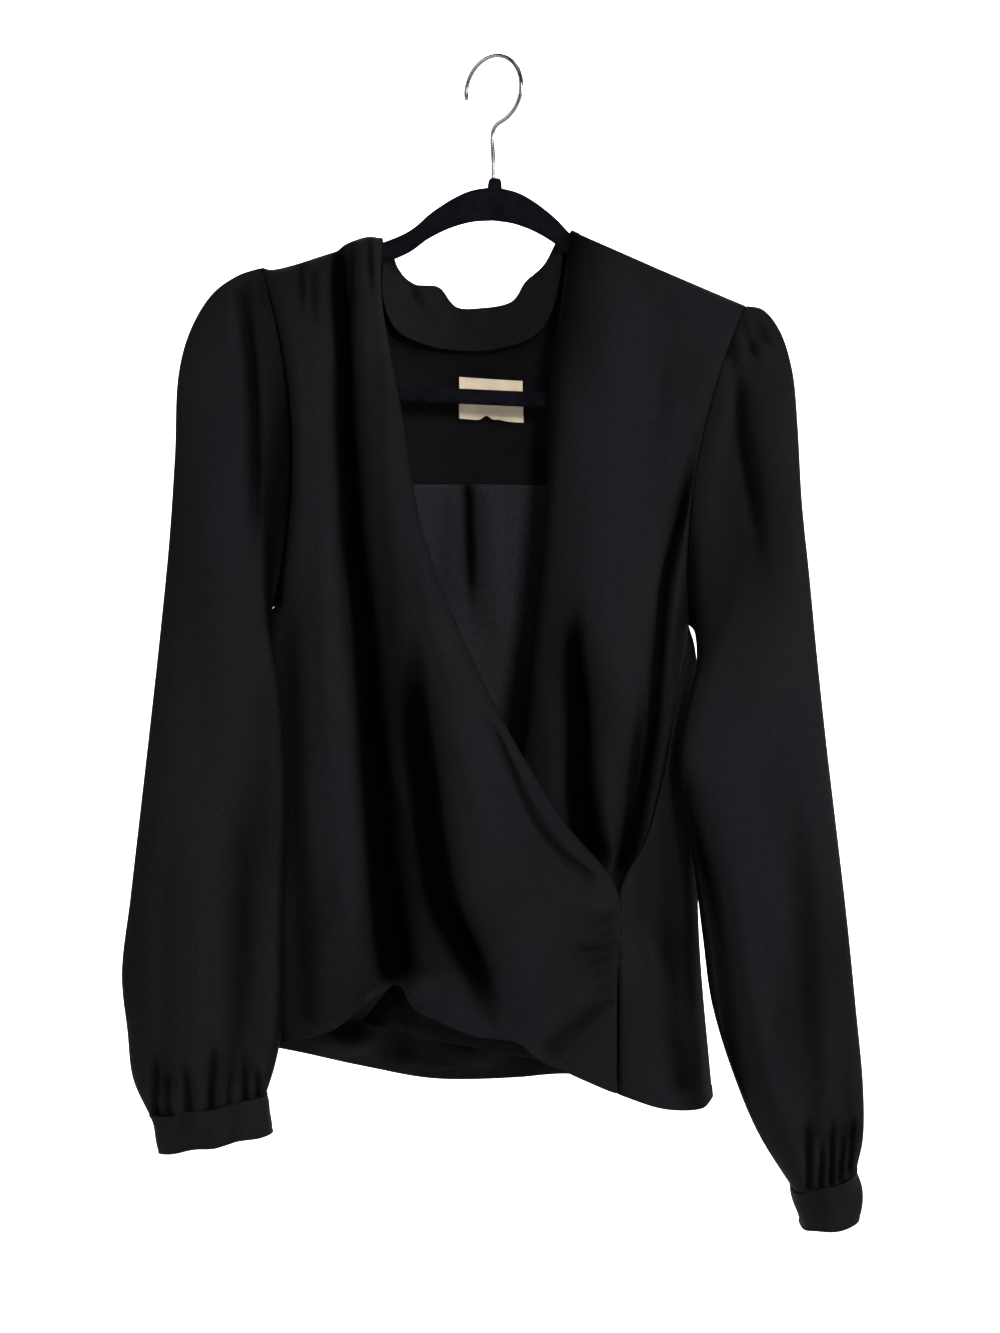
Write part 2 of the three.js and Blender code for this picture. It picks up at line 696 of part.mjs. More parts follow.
// The wire rises from the nub, bends out and runs round most of a circle to a tip on the far side.
function hangerHook() {
  const { wire, bend, yaw, footBend } = hook;
  const centre = -(bend - wire / 2);
  const foot = hanger.apex[1] + hanger.nub.height + cloth.seamGap;
  const ring = (degrees) => {
    const a = THREE.MathUtils.degToRad(degrees);
    return point(bend * Math.cos(a), 0, centre + bend * Math.sin(a));
  };
  const sweep = Array.from({ length: 15 }, (_, i) => ring(-62 + i * 18));
  const rise = [point(0, 0, foot), point(0, 0, (foot + centre - bend - footBend) / 2 - 4)];
  const path = new THREE.CatmullRomCurve3(
    [...rise, point(0.6, 0, centre - bend - footBend * 0.35), ...sweep], false, "centripetal");
  const section = new THREE.Shape();
  section.absarc(0, 0, wire / 2, 0, 2 * Math.PI);
  const geometry = new THREE.ExtrudeGeometry(section, {
    extrudePath: path, steps: 56, curveSegments: 5, bevelEnabled: false });
  geometry.rotateZ(-yaw);
  return geometry;
}

// ---- The group ----

const finishes = {
  crepe: () => new THREE.MeshStandardMaterial({ color: colours.crepe, roughness: 0.85, metalness: 0 }),
  label: () => new THREE.MeshStandardMaterial({ color: colours.label, roughness: 0.6, metalness: 0 }),
  flock: () => new THREE.MeshStandardMaterial({ color: colours.flock, roughness: 0.95, metalness: 0 }),
  steel: () => new THREE.MeshStandardMaterial({ color: colours.steel, roughness: 0.25, metalness: 1 }),
};

const blouse = new THREE.Group();
function addPiece(name, geometry, finish) {
  const mesh = new THREE.Mesh(geometry, finishes[finish]());
  mesh.name = name;
  blouse.add(mesh);
  return mesh;
}

const yoke = backYoke();
addPiece("front_right_over", overFront(), "crepe");
addPiece("front_left_under", underFront(), "crepe");
addPiece("side_panel_left", sidePanel(), "crepe");
addPiece("back_yoke", yoke.geometry, "crepe");
addPiece("back_body", backBody(), "crepe");
addPiece("back_collar", backCollar(), "crepe");
for (const name of ["right", "left"]) {
  addPiece(`sleeve_${name}`, sleeve(name), "crepe");
  addPiece(`cuff_${name}`, cuff(name), "crepe");
}
addPiece("neck_label", neckLabel(yoke.rows), "label");

const hangerMesh = addPiece("hanger_body", hangerBody(), "flock");
hangerMesh.position.set(hanger.apex[0], 0, hanger.apex[1]);
hangerMesh.rotation.y = hanger.roll;
addPiece("hanger_hook", hangerHook(), "steel");

export default blouse;
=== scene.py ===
import bpy
import numpy as np
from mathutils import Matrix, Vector


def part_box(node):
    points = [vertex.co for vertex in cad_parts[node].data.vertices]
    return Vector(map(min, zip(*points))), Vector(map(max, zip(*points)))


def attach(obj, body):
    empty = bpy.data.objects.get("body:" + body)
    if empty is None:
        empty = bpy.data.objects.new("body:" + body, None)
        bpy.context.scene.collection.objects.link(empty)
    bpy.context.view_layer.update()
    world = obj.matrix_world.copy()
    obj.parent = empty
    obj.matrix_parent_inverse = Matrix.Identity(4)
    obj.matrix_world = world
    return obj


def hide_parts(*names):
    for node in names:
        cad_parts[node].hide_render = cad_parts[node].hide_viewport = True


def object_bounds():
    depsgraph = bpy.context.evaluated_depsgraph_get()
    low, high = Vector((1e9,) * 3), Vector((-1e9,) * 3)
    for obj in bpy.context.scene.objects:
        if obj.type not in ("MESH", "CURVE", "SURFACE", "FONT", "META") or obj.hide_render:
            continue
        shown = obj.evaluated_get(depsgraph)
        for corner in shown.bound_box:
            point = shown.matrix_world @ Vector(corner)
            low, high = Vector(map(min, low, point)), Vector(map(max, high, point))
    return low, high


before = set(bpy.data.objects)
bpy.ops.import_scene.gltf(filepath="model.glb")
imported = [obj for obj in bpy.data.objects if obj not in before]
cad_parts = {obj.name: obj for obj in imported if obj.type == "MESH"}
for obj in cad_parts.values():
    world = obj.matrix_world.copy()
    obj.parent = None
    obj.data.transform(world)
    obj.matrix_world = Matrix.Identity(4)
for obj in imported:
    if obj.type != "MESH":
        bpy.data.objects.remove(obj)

cad_low, cad_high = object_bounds()
MM = 0.001  # the garment's tables are in millimetres, as a pattern cutter keeps them

# ---- The room ----
# A pale seamless sweep far behind the hanging blouse, with a wash of light on it. The blouse has a soft light
# from each side, a weak one near the camera and one from above. The camera is level with the middle of it.

bpy.context.scene.view_settings.view_transform = "Standard"


def mesh_object(name, points, faces, material, uv=None, smooth=True):
    """An object from an array of points in metres and an array of faces, with one UV for each point."""
    mesh = bpy.data.meshes.new(name)
    mesh.from_pydata(points.reshape(-1, 3), [], faces.tolist())
    mesh.materials.append(material)
    mesh.polygons.foreach_set("use_smooth", np.full(len(faces), smooth))
    if uv is not None:
        corners = np.zeros(len(mesh.loops), np.int32)
        mesh.loops.foreach_get("vertex_index", corners)
        layer = mesh.uv_layers.new(name="cloth")
        layer.data.foreach_set("uv", uv.reshape(-1, 2)[corners].astype(np.float32).ravel())
    mesh.update()
    made = bpy.data.objects.new(name, mesh)
    bpy.context.scene.collection.objects.link(made)
    return made


def grid_faces(rows, columns, closed=False):
    """Quads of a grid whose points run row by row. A closed grid joins its last column to its first."""
    j, i = np.mgrid[0:rows - 1, 0:columns if closed else columns - 1]
    right = (i + 1) % columns
    corners = (j * columns + i, (j + 1) * columns + i, (j + 1) * columns + right, j * columns + right)
    return np.stack(corners, axis=-1).reshape(-1, 4)


def new_material(name, roughness):
    """A material with its Principled shader, and the tools to add nodes and wires to it."""
    material = bpy.data.materials.new(name)
    material.use_nodes = True
    shader = material.node_tree.nodes["Principled BSDF"]
    shader.inputs["Roughness"].default_value = roughness

    def node(kind, **values):
        made = material.node_tree.nodes.new(kind)
        for key, value in values.items():
            if key in made.inputs:
                made.inputs[key].default_value = value
            else:
                setattr(made, key, value)
        return made

    return material, shader, node, material.node_tree.links.new


def painted_wall():
    """Matt off-white paint with the faintest mottling."""
    material, shader, node, link = new_material("pale wall", 0.9)
    mottle = node("ShaderNodeTexNoise", Scale=3.0, Detail=3.0)
    tones = node("ShaderNodeValToRGB")
    tones.color_ramp.elements[0].color = (0.88, 0.88, 0.88, 1)
    tones.color_ramp.elements[1].color = (0.92, 0.92, 0.92, 1)
    place = node("ShaderNodeTexCoord")
    link(place.outputs["Object"], mottle.inputs["Vector"])
    link(mottle.outputs["Fac"], tones.inputs["Fac"])
    link(tones.outputs["Color"], shader.inputs["Base Color"])
    return material


def backdrop():
    """A floor that turns up into a wall through a quarter circle: a profile carried sideways."""
    floor, wall, top, near, radius, half_width = cad_low.z - 0.16, 4.6, 4.0, -5.0, 0.8, 8.0
    turn = np.linspace(0, np.pi / 2, 24)
    bend = np.stack([wall - radius + radius * np.sin(turn), floor + radius - radius * np.cos(turn)], 1)
    profile = np.vstack([[near, floor], bend, [wall, top]])
    x = np.array([half_width, -half_width])
    points = np.stack(np.broadcast_arrays(x[None, :], profile[:, :1], profile[:, 1:]), -1)
    return mesh_object("backdrop", points, grid_faces(len(profile), 2), painted_wall())


backdrop()

world = bpy.data.worlds.new("soft room")
world.use_nodes = True
world.node_tree.nodes["Background"].inputs["Color"].default_value = (1, 1, 1, 1)
world.node_tree.nodes["Background"].inputs["Strength"].default_value = 0.03
bpy.context.scene.world = world

middle = (cad_low + cad_high) / 2


def soft_light(name, place, target, size, watts, spread=180, colour=(1, 1, 1)):
    """A square soft box that looks at its target and throws its light over a spread in degrees."""
    lamp = bpy.data.lights.new(name, "AREA")
    lamp.shape = "SQUARE"
    lamp.size = size
    lamp.energy = watts
    lamp.spread = np.radians(spread)
    lamp.color = colour
    holder = bpy.data.objects.new(name, lamp)
    holder.location = place
    holder.rotation_euler = (target - holder.location).to_track_quat("-Z", "Y").to_euler()
    bpy.context.scene.collection.objects.link(holder)
    return holder


soft_light("front box", (0.7, -2.2, 0.25), middle, 0.45, 1.5, 34, (1, 0.98, 0.96))
soft_light("left box", (-2.6, -1.4, 0.1), middle, 0.9, 23)
soft_light("right box", (2.7, -1.4, 0.1), middle, 0.9, 58)
soft_light("top box", (0.1, -0.9, 1.4), middle, 0.7, 6, 180, (0.9, 0.94, 1))
soft_light("wall wash", (0.0, 2.4, 2.6), Vector((0.0, 4.6, -0.6)), 3.2, 520)

camera = bpy.data.objects.new("camera", bpy.data.cameras.new("camera"))
camera.data.lens = 62.7
camera.data.sensor_width = 36
camera.location = (0.0048, -1.7, -0.4454)
camera.rotation_euler = (np.pi / 2, 0, 0)
bpy.context.scene.collection.objects.link(camera)
bpy.context.scene.camera = camera

# ---- The hook ----
# A steel wire, turned out of the hanger's plane. It rises from the nub, bends out and runs round most of a
# circle to a rounded tip. The wire is pushed into the nub and held by it.


def spline(points, shares):
    """Points at the given shares of the length of a centripetal Catmull-Rom curve through the given points.
    Each stretch is the cubic whose end slopes come from the neighbours, by the roots of the distances."""
    p = np.array(points, float)
    p = np.vstack([2 * p[0] - p[1], p, 2 * p[-1] - p[-2]])
    step = np.maximum(np.sqrt(np.linalg.norm(np.diff(p, axis=0), axis=1)), 1e-4)[:, None]
    a, b, c, d = p[:-3], p[1:-2], p[2:-1], p[3:]
    s0, s1, s2 = step[:-2], step[1:-1], step[2:]
    slope_b = s1 * ((b - a) / s0 - (c - a) / (s0 + s1) + (c - b) / s1)
    slope_c = s1 * ((c - b) / s1 - (d - b) / (s1 + s2) + (d - c) / s2)
    t = np.linspace(0, 1, 33)[None, :-1, None]
    b, c, slope_b, slope_c = (q[:, None] for q in (b, c, slope_b, slope_c))
    fine = (b + slope_b * t + (3 * (c - b) - 2 * slope_b - slope_c) * t ** 2
            + (2 * (b - c) + slope_b + slope_c) * t ** 3)
    fine = np.vstack([fine.reshape(-1, p.shape[1]), p[-2]])
    length = np.concatenate([[0], np.cumsum(np.linalg.norm(np.diff(fine, axis=0), axis=1))])
    wanted = np.asarray(shares, float) * length[-1]
    return np.stack([np.interp(wanted, length, fine[:, k]) for k in range(p.shape[1])], 1)


def even(count):
    """Shares from 0 to 1 in a number of equal steps."""
    return np.linspace(0, 1, count + 1)


def closer_at_ends(count, gather=0.6):
    """Shares from 0 to 1 whose steps are shorter near both ends: t - gather * sin(2 pi t) / (2 pi)."""
    t = even(count)
    return t - gather * np.sin(2 * np.pi * t) / (2 * np.pi)


def flat_wire(path, radius, across):
    """A round wire along a path that lies in one plane: circles of the given radii, each set in the plane of
    the bend's normal and the direction square to the wire. Radii that fall to nothing close the ends."""
    ahead = np.gradient(path, axis=0)
    ahead /= np.linalg.norm(ahead, axis=1, keepdims=True)
    outward = np.cross(ahead, across)
    angle = np.linspace(0, 2 * np.pi, 20, endpoint=False)[None, :, None]
    ring = np.cos(angle) * np.asarray(across) + np.sin(angle) * outward[:, None]
    return path[:, None] + radius[:, None, None] * ring


def round_ends(path, radius):
    """The radius along a wire, falling to nothing at both ends as a half ball does."""
    length = np.concatenate([[0], np.cumsum(np.linalg.norm(np.diff(path, axis=0), axis=1))])
    inside = np.clip(np.minimum(length, length[-1] - length) / radius, 0, 1)
    return radius * np.sqrt(1 - (1 - inside) ** 2)


def drawn_steel():
    """Bright drawn wire: grey steel with fine long scratches and slightly duller patches."""
    material, shader, node, link = new_material("drawn steel", 0.24)
    shader.inputs["Metallic"].default_value = 1.0
    place = node("ShaderNodeTexCoord")
    stretch = node("ShaderNodeMapping", Scale=(900, 900, 60))
    scratches = node("ShaderNodeTexNoise", Scale=1.0, Detail=4.0)
    patches = node("ShaderNodeTexNoise", Scale=70.0, Detail=3.0)
    tones = node("ShaderNodeValToRGB")
    tones.color_ramp.elements[0].color = (0.12, 0.122, 0.126, 1)
    tones.color_ramp.elements[1].color = (0.30, 0.305, 0.31, 1)
    dull = node("ShaderNodeMapRange", **{"To Min": 0.18, "To Max": 0.36})
    bump = node("ShaderNodeBump", Strength=0.25, Distance=0.00005)
    link(place.outputs["Object"], stretch.inputs["Vector"])
    link(stretch.outputs["Vector"], scratches.inputs["Vector"])
    link(place.outputs["Object"], patches.inputs["Vector"])
    link(patches.outputs["Fac"], tones.inputs["Fac"])
    link(tones.outputs["Color"], shader.inputs["Base Color"])
    link(scratches.outputs["Fac"], dull.inputs["Value"])
    link(dull.outputs["Result"], shader.inputs["Roughness"])
    link(scratches.outputs["Fac"], bump.inputs["Height"])
    link(bump.outputs["Normal"], shader.inputs["Normal"])
    return material


wire, bend, yaw, foot_bend = 3.4, 25, np.radians(36), 9
apex_x, apex_z = 1, -93
hook_centre = -(bend - wire / 2)
hook_foot = apex_z + 3
sweep = np.radians(-62 + 18 * np.arange(15))
ring_x, ring_z = bend * np.cos(sweep), hook_centre + bend * np.sin(sweep)
flat_path = np.vstack([
    [[0, hook_foot], [0, (hook_foot + hook_centre - bend - foot_bend) / 2 - 4],
     [0.6, hook_centre - bend - foot_bend * 0.35]],
    np.stack([ring_x, ring_z], 1),
])
hook_path = spline(np.stack([flat_path[:, 0] * np.cos(yaw), -flat_path[:, 0] * np.sin(yaw),
                             flat_path[:, 1]], 1), closer_at_ends(220, 0.9))
hook = mesh_object("hook_wire", MM * flat_wire(hook_path, round_ends(hook_path, wire / 2),
                                              (np.sin(yaw), np.cos(yaw), 0)),
                   grid_faces(221, 20, closed=True), drawn_steel())
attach(hook, "root")
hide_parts("hanger_hook")

# ---- The hanger ----
# A slim moulded hanger covered in black flock: an arch at the neck, sloping arms, round noses that push the
# sleeve heads out, and a thin bar below. A short round nub in the middle holds the wire.

hanger_half_thick = 2.75
hanger_roll = np.radians(2.6)
# Stations round one half, from the top of the arch to the middle of the bar: outer and inner edge.
hanger_stations = [
    # outer x, outer z, inner x, inner z
    (0, -1.2, 0, -26),
    (17, -4.7, 15.5, -27.7),
    (30.7, -11.6, 31, -32.8),
    (45.6, -22.4, 46.5, -41.2),
    (62, -37, 62, -53),
    (120, -60.8, 120, -76.8),
    (184, -87, 172, -100),
    (205.5, -107, 187, -108),
    (215, -133, 191.5, -128),
    (209, -154, 188, -143),
    (184, -161, 178, -149),
    (92, -161, 90, -150),
    (0, -161, 0, -150),
]


def rolled(points):
    """Turns points round the hanger's apex, so that the hanger hangs a little lower on one side."""
    x, y, z = points[..., 0], points[..., 1], points[..., 2]
    c, s = np.cos(hanger_roll), np.sin(hanger_roll)
    return np.stack([apex_x + c * x + s * z, y, apex_z - s * x + c * z], -1)


def hanger_frame():
    """A ring carried round the hanger: at each station the section is a rounded bar between the outer and the
    inner edge, a superellipse of cosine and sine, each to the power 0.4 with its own sign."""
    half = spline(hanger_stations, closer_at_ends(150, 0.2))
    other = half[-2:0:-1] * (-1, 1, -1, 1)
    around = np.vstack([half, other])
    outer = np.stack([around[:, 0], 0 * around[:, 0], around[:, 1]], 1)
    inner = np.stack([around[:, 2], 0 * around[:, 0], around[:, 3]], 1)
    angle = np.linspace(0, 2 * np.pi, 28, endpoint=False)
    blunt = [np.sign(w) * np.abs(w) ** 0.4 for w in (np.cos(angle), np.sin(angle))]
    centre, reach = (outer + inner) / 2, (outer - inner) / 2
    points = centre[:, None] + blunt[0][None, :, None] * reach[:, None]
    points[..., 1] += hanger_half_thick * blunt[1]
    count = len(around)
    faces = grid_faces(count + 1, len(angle), closed=True) % (count * len(angle))
    return rolled(points).reshape(-1, 3), faces


def nub():
    """A short post with a rounded head: a profile of radius and height turned round its axis."""
    profile = np.array([(0, -5), (5.4, -5), (5.2, 0), (4.8, 3), (3.8, 4.6), (2.2, 5.2), (0, 5.3)])
    angle = np.linspace(0, 2 * np.pi, 24, endpoint=False)
    x, y = profile[:, :1] * np.cos(angle), 0.62 * profile[:, :1] * np.sin(angle)
    z = np.broadcast_to(profile[:, 1:], x.shape)
    return rolled(np.stack([x, y, z], -1)).reshape(-1, 3), grid_faces(len(profile), 24, closed=True)


def black_flock():
    """Short dense velvet pile: blue-black, very rough, with a soft rim and small brushed patches."""
    material, shader, node, link = new_material("black flock", 0.95)
    shader.inputs["Specular IOR Level"].default_value = 0.04
    shader.inputs["Sheen Weight"].default_value = 0.008
    shader.inputs["Sheen Roughness"].default_value = 0.4
    place = node("ShaderNodeTexCoord")
    pile = node("ShaderNodeTexNoise", Scale=2600.0, Detail=2.0)
    brushed = node("ShaderNodeTexNoise", Scale=90.0, Detail=4.0, Roughness=0.65)
    tones = node("ShaderNodeValToRGB")
    tones.color_ramp.elements[0].position = 0.35
    tones.color_ramp.elements[0].color = (0.0022, 0.0023, 0.0036, 1)
    tones.color_ramp.elements[1].position = 0.75
    tones.color_ramp.elements[1].color = (0.0058, 0.0062, 0.0100, 1)
    bump = node("ShaderNodeBump", Strength=0.7, Distance=0.0003)
    link(place.outputs["Object"], pile.inputs["Vector"])
    link(place.outputs["Object"], brushed.inputs["Vector"])
    link(brushed.outputs["Fac"], tones.inputs["Fac"])
    link(tones.outputs["Color"], shader.inputs["Base Color"])
    link(pile.outputs["Fac"], bump.inputs["Height"])
    link(bump.outputs["Normal"], shader.inputs["Normal"])
    return material


def joined(*parts):
    """Several point and face arrays as one pair of arrays."""
    points = np.vstack([p for p, _ in parts])
    starts = np.cumsum([0] + [len(p) for p, _ in parts[:-1]])
    return points, np.vstack([f + start for (_, f), start in zip(parts, starts)])


hanger_points, hanger_faces = joined(hanger_frame(), nub())
hanger = mesh_object("flocked_hanger", MM * hanger_points, hanger_faces, black_flock())
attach(hanger, "root")
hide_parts("hanger_body")

# ---- The sleeves ----
# Full crepe sleeves cut in one piece each, gathered a little at the sleeve head and again into the cuff. They
# hang from the noses of the hanger, flattened to a soft fold at each side.

wall = 0.8
hanger_room = hanger_half_thick + 1.2 + 1.6
foot_of_hanger = apex_z - 161 - 30


def crepe(name, lightness, shade_attribute_name):
    """Matt black crepe: tiny crinkled yarns, drawn a little along the length of the cloth, and a faint
    unevenness of tone over a hand's width. Its wrong side is lighter than its right side. A point
    attribute holds painted shade, with a random mottle: it darkens the colour on the floor of a deep fold
    and where the cloth lies in shade."""
    material, shader, node, link = new_material(name, 0.82)
    shader.inputs["Specular IOR Level"].default_value = 0.02
    shader.inputs["Sheen Weight"].default_value = 0.002
    shader.inputs["Sheen Roughness"].default_value = 0.5
    place = node("ShaderNodeTexCoord")
    drawn = node("ShaderNodeMapping", Scale=(1.0, 1.0, 0.34))
    yarn = node("ShaderNodeTexNoise", Scale=1050.0, Detail=3.0, Roughness=0.6)
    pebble = node("ShaderNodeTexVoronoi", Scale=1100.0)
    broad = node("ShaderNodeTexNoise", Scale=7.0, Detail=3.0)
    tones = node("ShaderNodeValToRGB")
    tones.color_ramp.elements[0].position = 0.32
    tones.color_ramp.elements[0].color = (*lightness * np.array((0.0064, 0.0063, 0.0072)), 1)
    tones.color_ramp.elements[1].position = 0.70
    tones.color_ramp.elements[1].color = (*lightness * np.array((0.0108, 0.0106, 0.0121)), 1)
    warm = node("ShaderNodeValToRGB")
    warm.color_ramp.elements[0].color = (0.93, 0.93, 1.06, 1)
    warm.color_ramp.elements[1].color = (1.07, 1.03, 0.98, 1)
    tint = node("ShaderNodeMix", data_type="RGBA", blend_type="MULTIPLY")
    tint.inputs["Factor"].default_value = 1.0
    # Painted shade: the attribute lowers the colour to as little as 0.04 of itself.
    painted_shade_and_mottle = node("ShaderNodeAttribute", attribute_name=shade_attribute_name)
    shade = node("ShaderNodeMapRange", **{"To Min": 1.0, "To Max": 0.04})
    shaded = node("ShaderNodeMix", data_type="RGBA", blend_type="MULTIPLY")
    shaded.inputs["Factor"].default_value = 1.0
    heights = node("ShaderNodeMath", operation="MULTIPLY_ADD")
    heights.inputs[1].default_value = 0.5
    bump = node("ShaderNodeBump", Strength=0.45, Distance=0.00022)
    link(place.outputs["Object"], drawn.inputs["Vector"])
    link(drawn.outputs["Vector"], yarn.inputs["Vector"])
    link(drawn.outputs["Vector"], pebble.inputs["Vector"])
    link(place.outputs["Object"], broad.inputs["Vector"])
    link(yarn.outputs["Fac"], tones.inputs["Fac"])
    link(broad.outputs["Fac"], warm.inputs["Fac"])
    link(tones.outputs["Color"], tint.inputs[6])
    link(warm.outputs["Color"], tint.inputs[7])
    link(painted_shade_and_mottle.outputs["Fac"], shade.inputs["Value"])
    link(tint.outputs[2], shaded.inputs[6])
    link(shade.outputs["Result"], shaded.inputs[7])
    link(shaded.outputs[2], shader.inputs["Base Color"])
    link(pebble.outputs["Distance"], heights.inputs[0])
    link(yarn.outputs["Fac"], heights.inputs[2])
    link(heights.outputs["Value"], bump.inputs["Height"])
    link(bump.outputs["Normal"], shader.inputs["Normal"])
    return material


crepe_cloth = crepe("black crepe", 1.0, "painted_shade_and_mottle")
# The wrong side is lighter than the right side, and its lightness of 2.6 is raised further to make up for the
# light that hardly reaches inside the back: partly painted light.
crepe_wrong_side_with_painted_light = crepe("black crepe, wrong side, with painted light", 2.6, "painted_shade_and_mottle_inside")


def soft_step(t):
    """0 below 0, 1 above 1, and a smooth cubic between."""
    t = np.clip(t, 0, 1)
    return t * t * (3 - 2 * t)


def fold(path, width, depth, fade=(30, 30), flat=2.0, lean=0.0):
    """One fold: its path of (x, z), its half width at the top and bottom, how far it goes in (or out, if
    negative), how long it takes to appear and to die away, how flat its floor is (2 is a bell), and how much
    wider it is on its right than on its left."""
    width = (width, width) if np.isscalar(width) else width
    return dict(path=path, width=width, depth=depth, fade=fade, flat=flat, lean=lean)


skirt = 2.7  # how much wider the soft skirt of a fold is than its core


def folded(folds, x, z):
    """How far all folds push the cloth in at x, z. A fold's push is depth * exp(-(distance / width) ** flat)
    by the distance to its smooth path, with 0.3 of the depth spread in a wider skirt instead, a plain bell,
    all times a soft step from each of its ends."""
    total = np.zeros(np.shape(x))
    flat_x, flat_z = np.ravel(x), np.ravel(z)
    for row in folds:
        line = spline(row["path"], even(28))
        start, along = line[:-1], np.diff(line, axis=0)
        reach = 6.5 * max(row["width"])
        near = ((flat_x > line[:, 0].min() - reach) & (flat_x < line[:, 0].max() + reach)
                & (flat_z > line[:, 1].min() - reach) & (flat_z < line[:, 1].max() + reach))
        if not near.any():
            continue
        spot = np.stack([flat_x[near], flat_z[near]], 1)[:, None]
        length = np.linalg.norm(along, axis=1)
        share = np.clip(((spot - start) * along).sum(-1) / length ** 2, 0, 1)
        distance = np.linalg.norm(spot - (start + share[..., None] * along), axis=-1)
        best = distance.argmin(1)
        pick = np.arange(len(best))
        travelled = (np.cumsum(length) - length)[best] + share[pick, best] * length[best]
        whole = length.sum()
        aside = spot[:, 0] - start[best]
        to_right = np.sign(along[best, 0] * aside[:, 1] - along[best, 1] * aside[:, 0])
        width = np.interp(travelled / whole, (0, 1), row["width"]) * (1 + row["lean"] * to_right)
        ends = soft_step(travelled / row["fade"][0]) * soft_step((whole - travelled) / row["fade"][1])
        away = distance[pick, best] / width
        push = 0.7 * np.exp(-away ** row["flat"]) + 0.3 * np.exp(-(away / skirt) ** 2)
        total.ravel()[near] += row["depth"] * ends * push
    return total


def drift(x, z, seed, size, amount):
    """A slow unevenness of hanging cloth: a handful of seeded sine waves, mostly across the cloth."""
    rng = np.random.default_rng(seed)
    total = np.zeros(np.shape(x))
    for _ in range(7):
        lean, turn = rng.normal(0, 0.22), rng.uniform(0, 2 * np.pi)
        pace = 2 * np.pi / (size * rng.uniform(0.7, 1.7))
        slow = rng.uniform(0.05, 0.35)
        total += np.sin(pace * (x + lean * z) + turn + 1.4 * np.sin(slow * pace * z + 2 * turn))
    return amount * total / np.sqrt(7)


ease_below = 60.0  # below the hanger's foot, the cloth is free of it within this height


def clear_of_hanger(points, out):
    """Above the foot of the hanger the cloth keeps to its own side of it. The limit eases off below."""
    y, z = points[..., 1], points[..., 2]
    limit = hanger_room - ease_below * soft_step((foot_of_hanger + 25 - z) / ease_below)
    points[..., 1] = out * np.maximum(out * y, limit)
    return points


darkest_shade_at = 18.0  # how much painted shade (in millimetres of fold depth) gives the darkest tone that the cloth's colour is lowered to


def cloth_object(name, points, closed=False, thick=wall, doubled=False, painted_shade_and_mottle=None, inside=None):
    """A thin cloth shell from a grid of outer points, with UVs in metres of cloth, thickened inwards. The
    inside shows the cloth's wrong side, unless the piece is doubled. Painted shade, with a random mottle,
    is kept as a point attribute for the outside and one for the inside."""
    sideways = np.linalg.norm(np.diff(points, axis=1), axis=-1)
    downwards = np.linalg.norm(np.diff(points, axis=0), axis=-1)
    u = np.pad(np.cumsum(sideways, axis=1), ((0, 0), (1, 0)))
    v = np.pad(np.cumsum(downwards, axis=0), ((1, 0), (0, 0)))
    uv = MM * np.stack([u, v.mean(1, keepdims=True) + 0 * u], -1)
    faces = grid_faces(*points.shape[:2], closed=closed)
    made = mesh_object(name, MM * points, faces, crepe_cloth, uv)
    # Painted shade for the outside and the inside, each a point attribute that darkens the crepe's colour.
    for label, values in (("painted_shade_and_mottle", painted_shade_and_mottle), ("painted_shade_and_mottle_inside", painted_shade_and_mottle if inside is None else inside)):
        if values is not None:
            depth = made.data.attributes.new(label, "FLOAT", "POINT")
            depth.data.foreach_set("value", np.clip(values / darkest_shade_at, 0, 1).astype(np.float32).ravel())
    shell = made.modifiers.new("cloth thickness", "SOLIDIFY")
    shell.thickness = thick * MM
    shell.offset = -1
    if not doubled:
        made.data.materials.append(crepe_wrong_side_with_painted_light)
        shell.material_offset = 1
    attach(made, "root")
    return made


# Each sleeve is a table of sections from the armhole down. A section lies between its outer and its inner
# fold (x, z), whose depths are y_out and y_in, swells to the front and back, and bows with the armhole.
sleeve_columns = ("outer_x", "outer_z", "inner_x", "inner_z", "y_out", "y_in", "front", "back", "bow")
right_sections = [
    (-169, -154, -160, -400, 0, 11, 16, 12, 18),
    (-187, -160, -163, -404, 0, 2, 18, 17, 12),
    (-205, -173, -163, -410, 0, -4, 20, 17, 8),
    (-221, -199, -162, -420, -1, -12, 21, 16, 3),
    (-230, -232, -159, -434, -2, -20, 22, 16, 0),
    (-232, -290, -154, -457, -6, -26, 25, 17, 0),
    (-235, -352, -150, -488, -13, -30, 27, 18, 0),
    (-240, -415, -148, -522, -20, -32, 29, 20, 0),
    (-246, -478, -148, -560, -26, -31, 29, 23, 0),
    (-253, -545, -149, -598, -30, -33, 30, 24, 0),
    (-260, -610, -150, -638, -33, -34, 31, 26, 0),
    (-266, -665, -150, -676, -34, -34, 32, 27, 0),
    (-262, -706, -152, -708, -34, -34, 31, 27, 0),
    (-258, -740, -157, -733, -34, -34, 28, 26, 0),
    (-246, -767, -163, -752, -34, -34, 23, 22, 0),
]
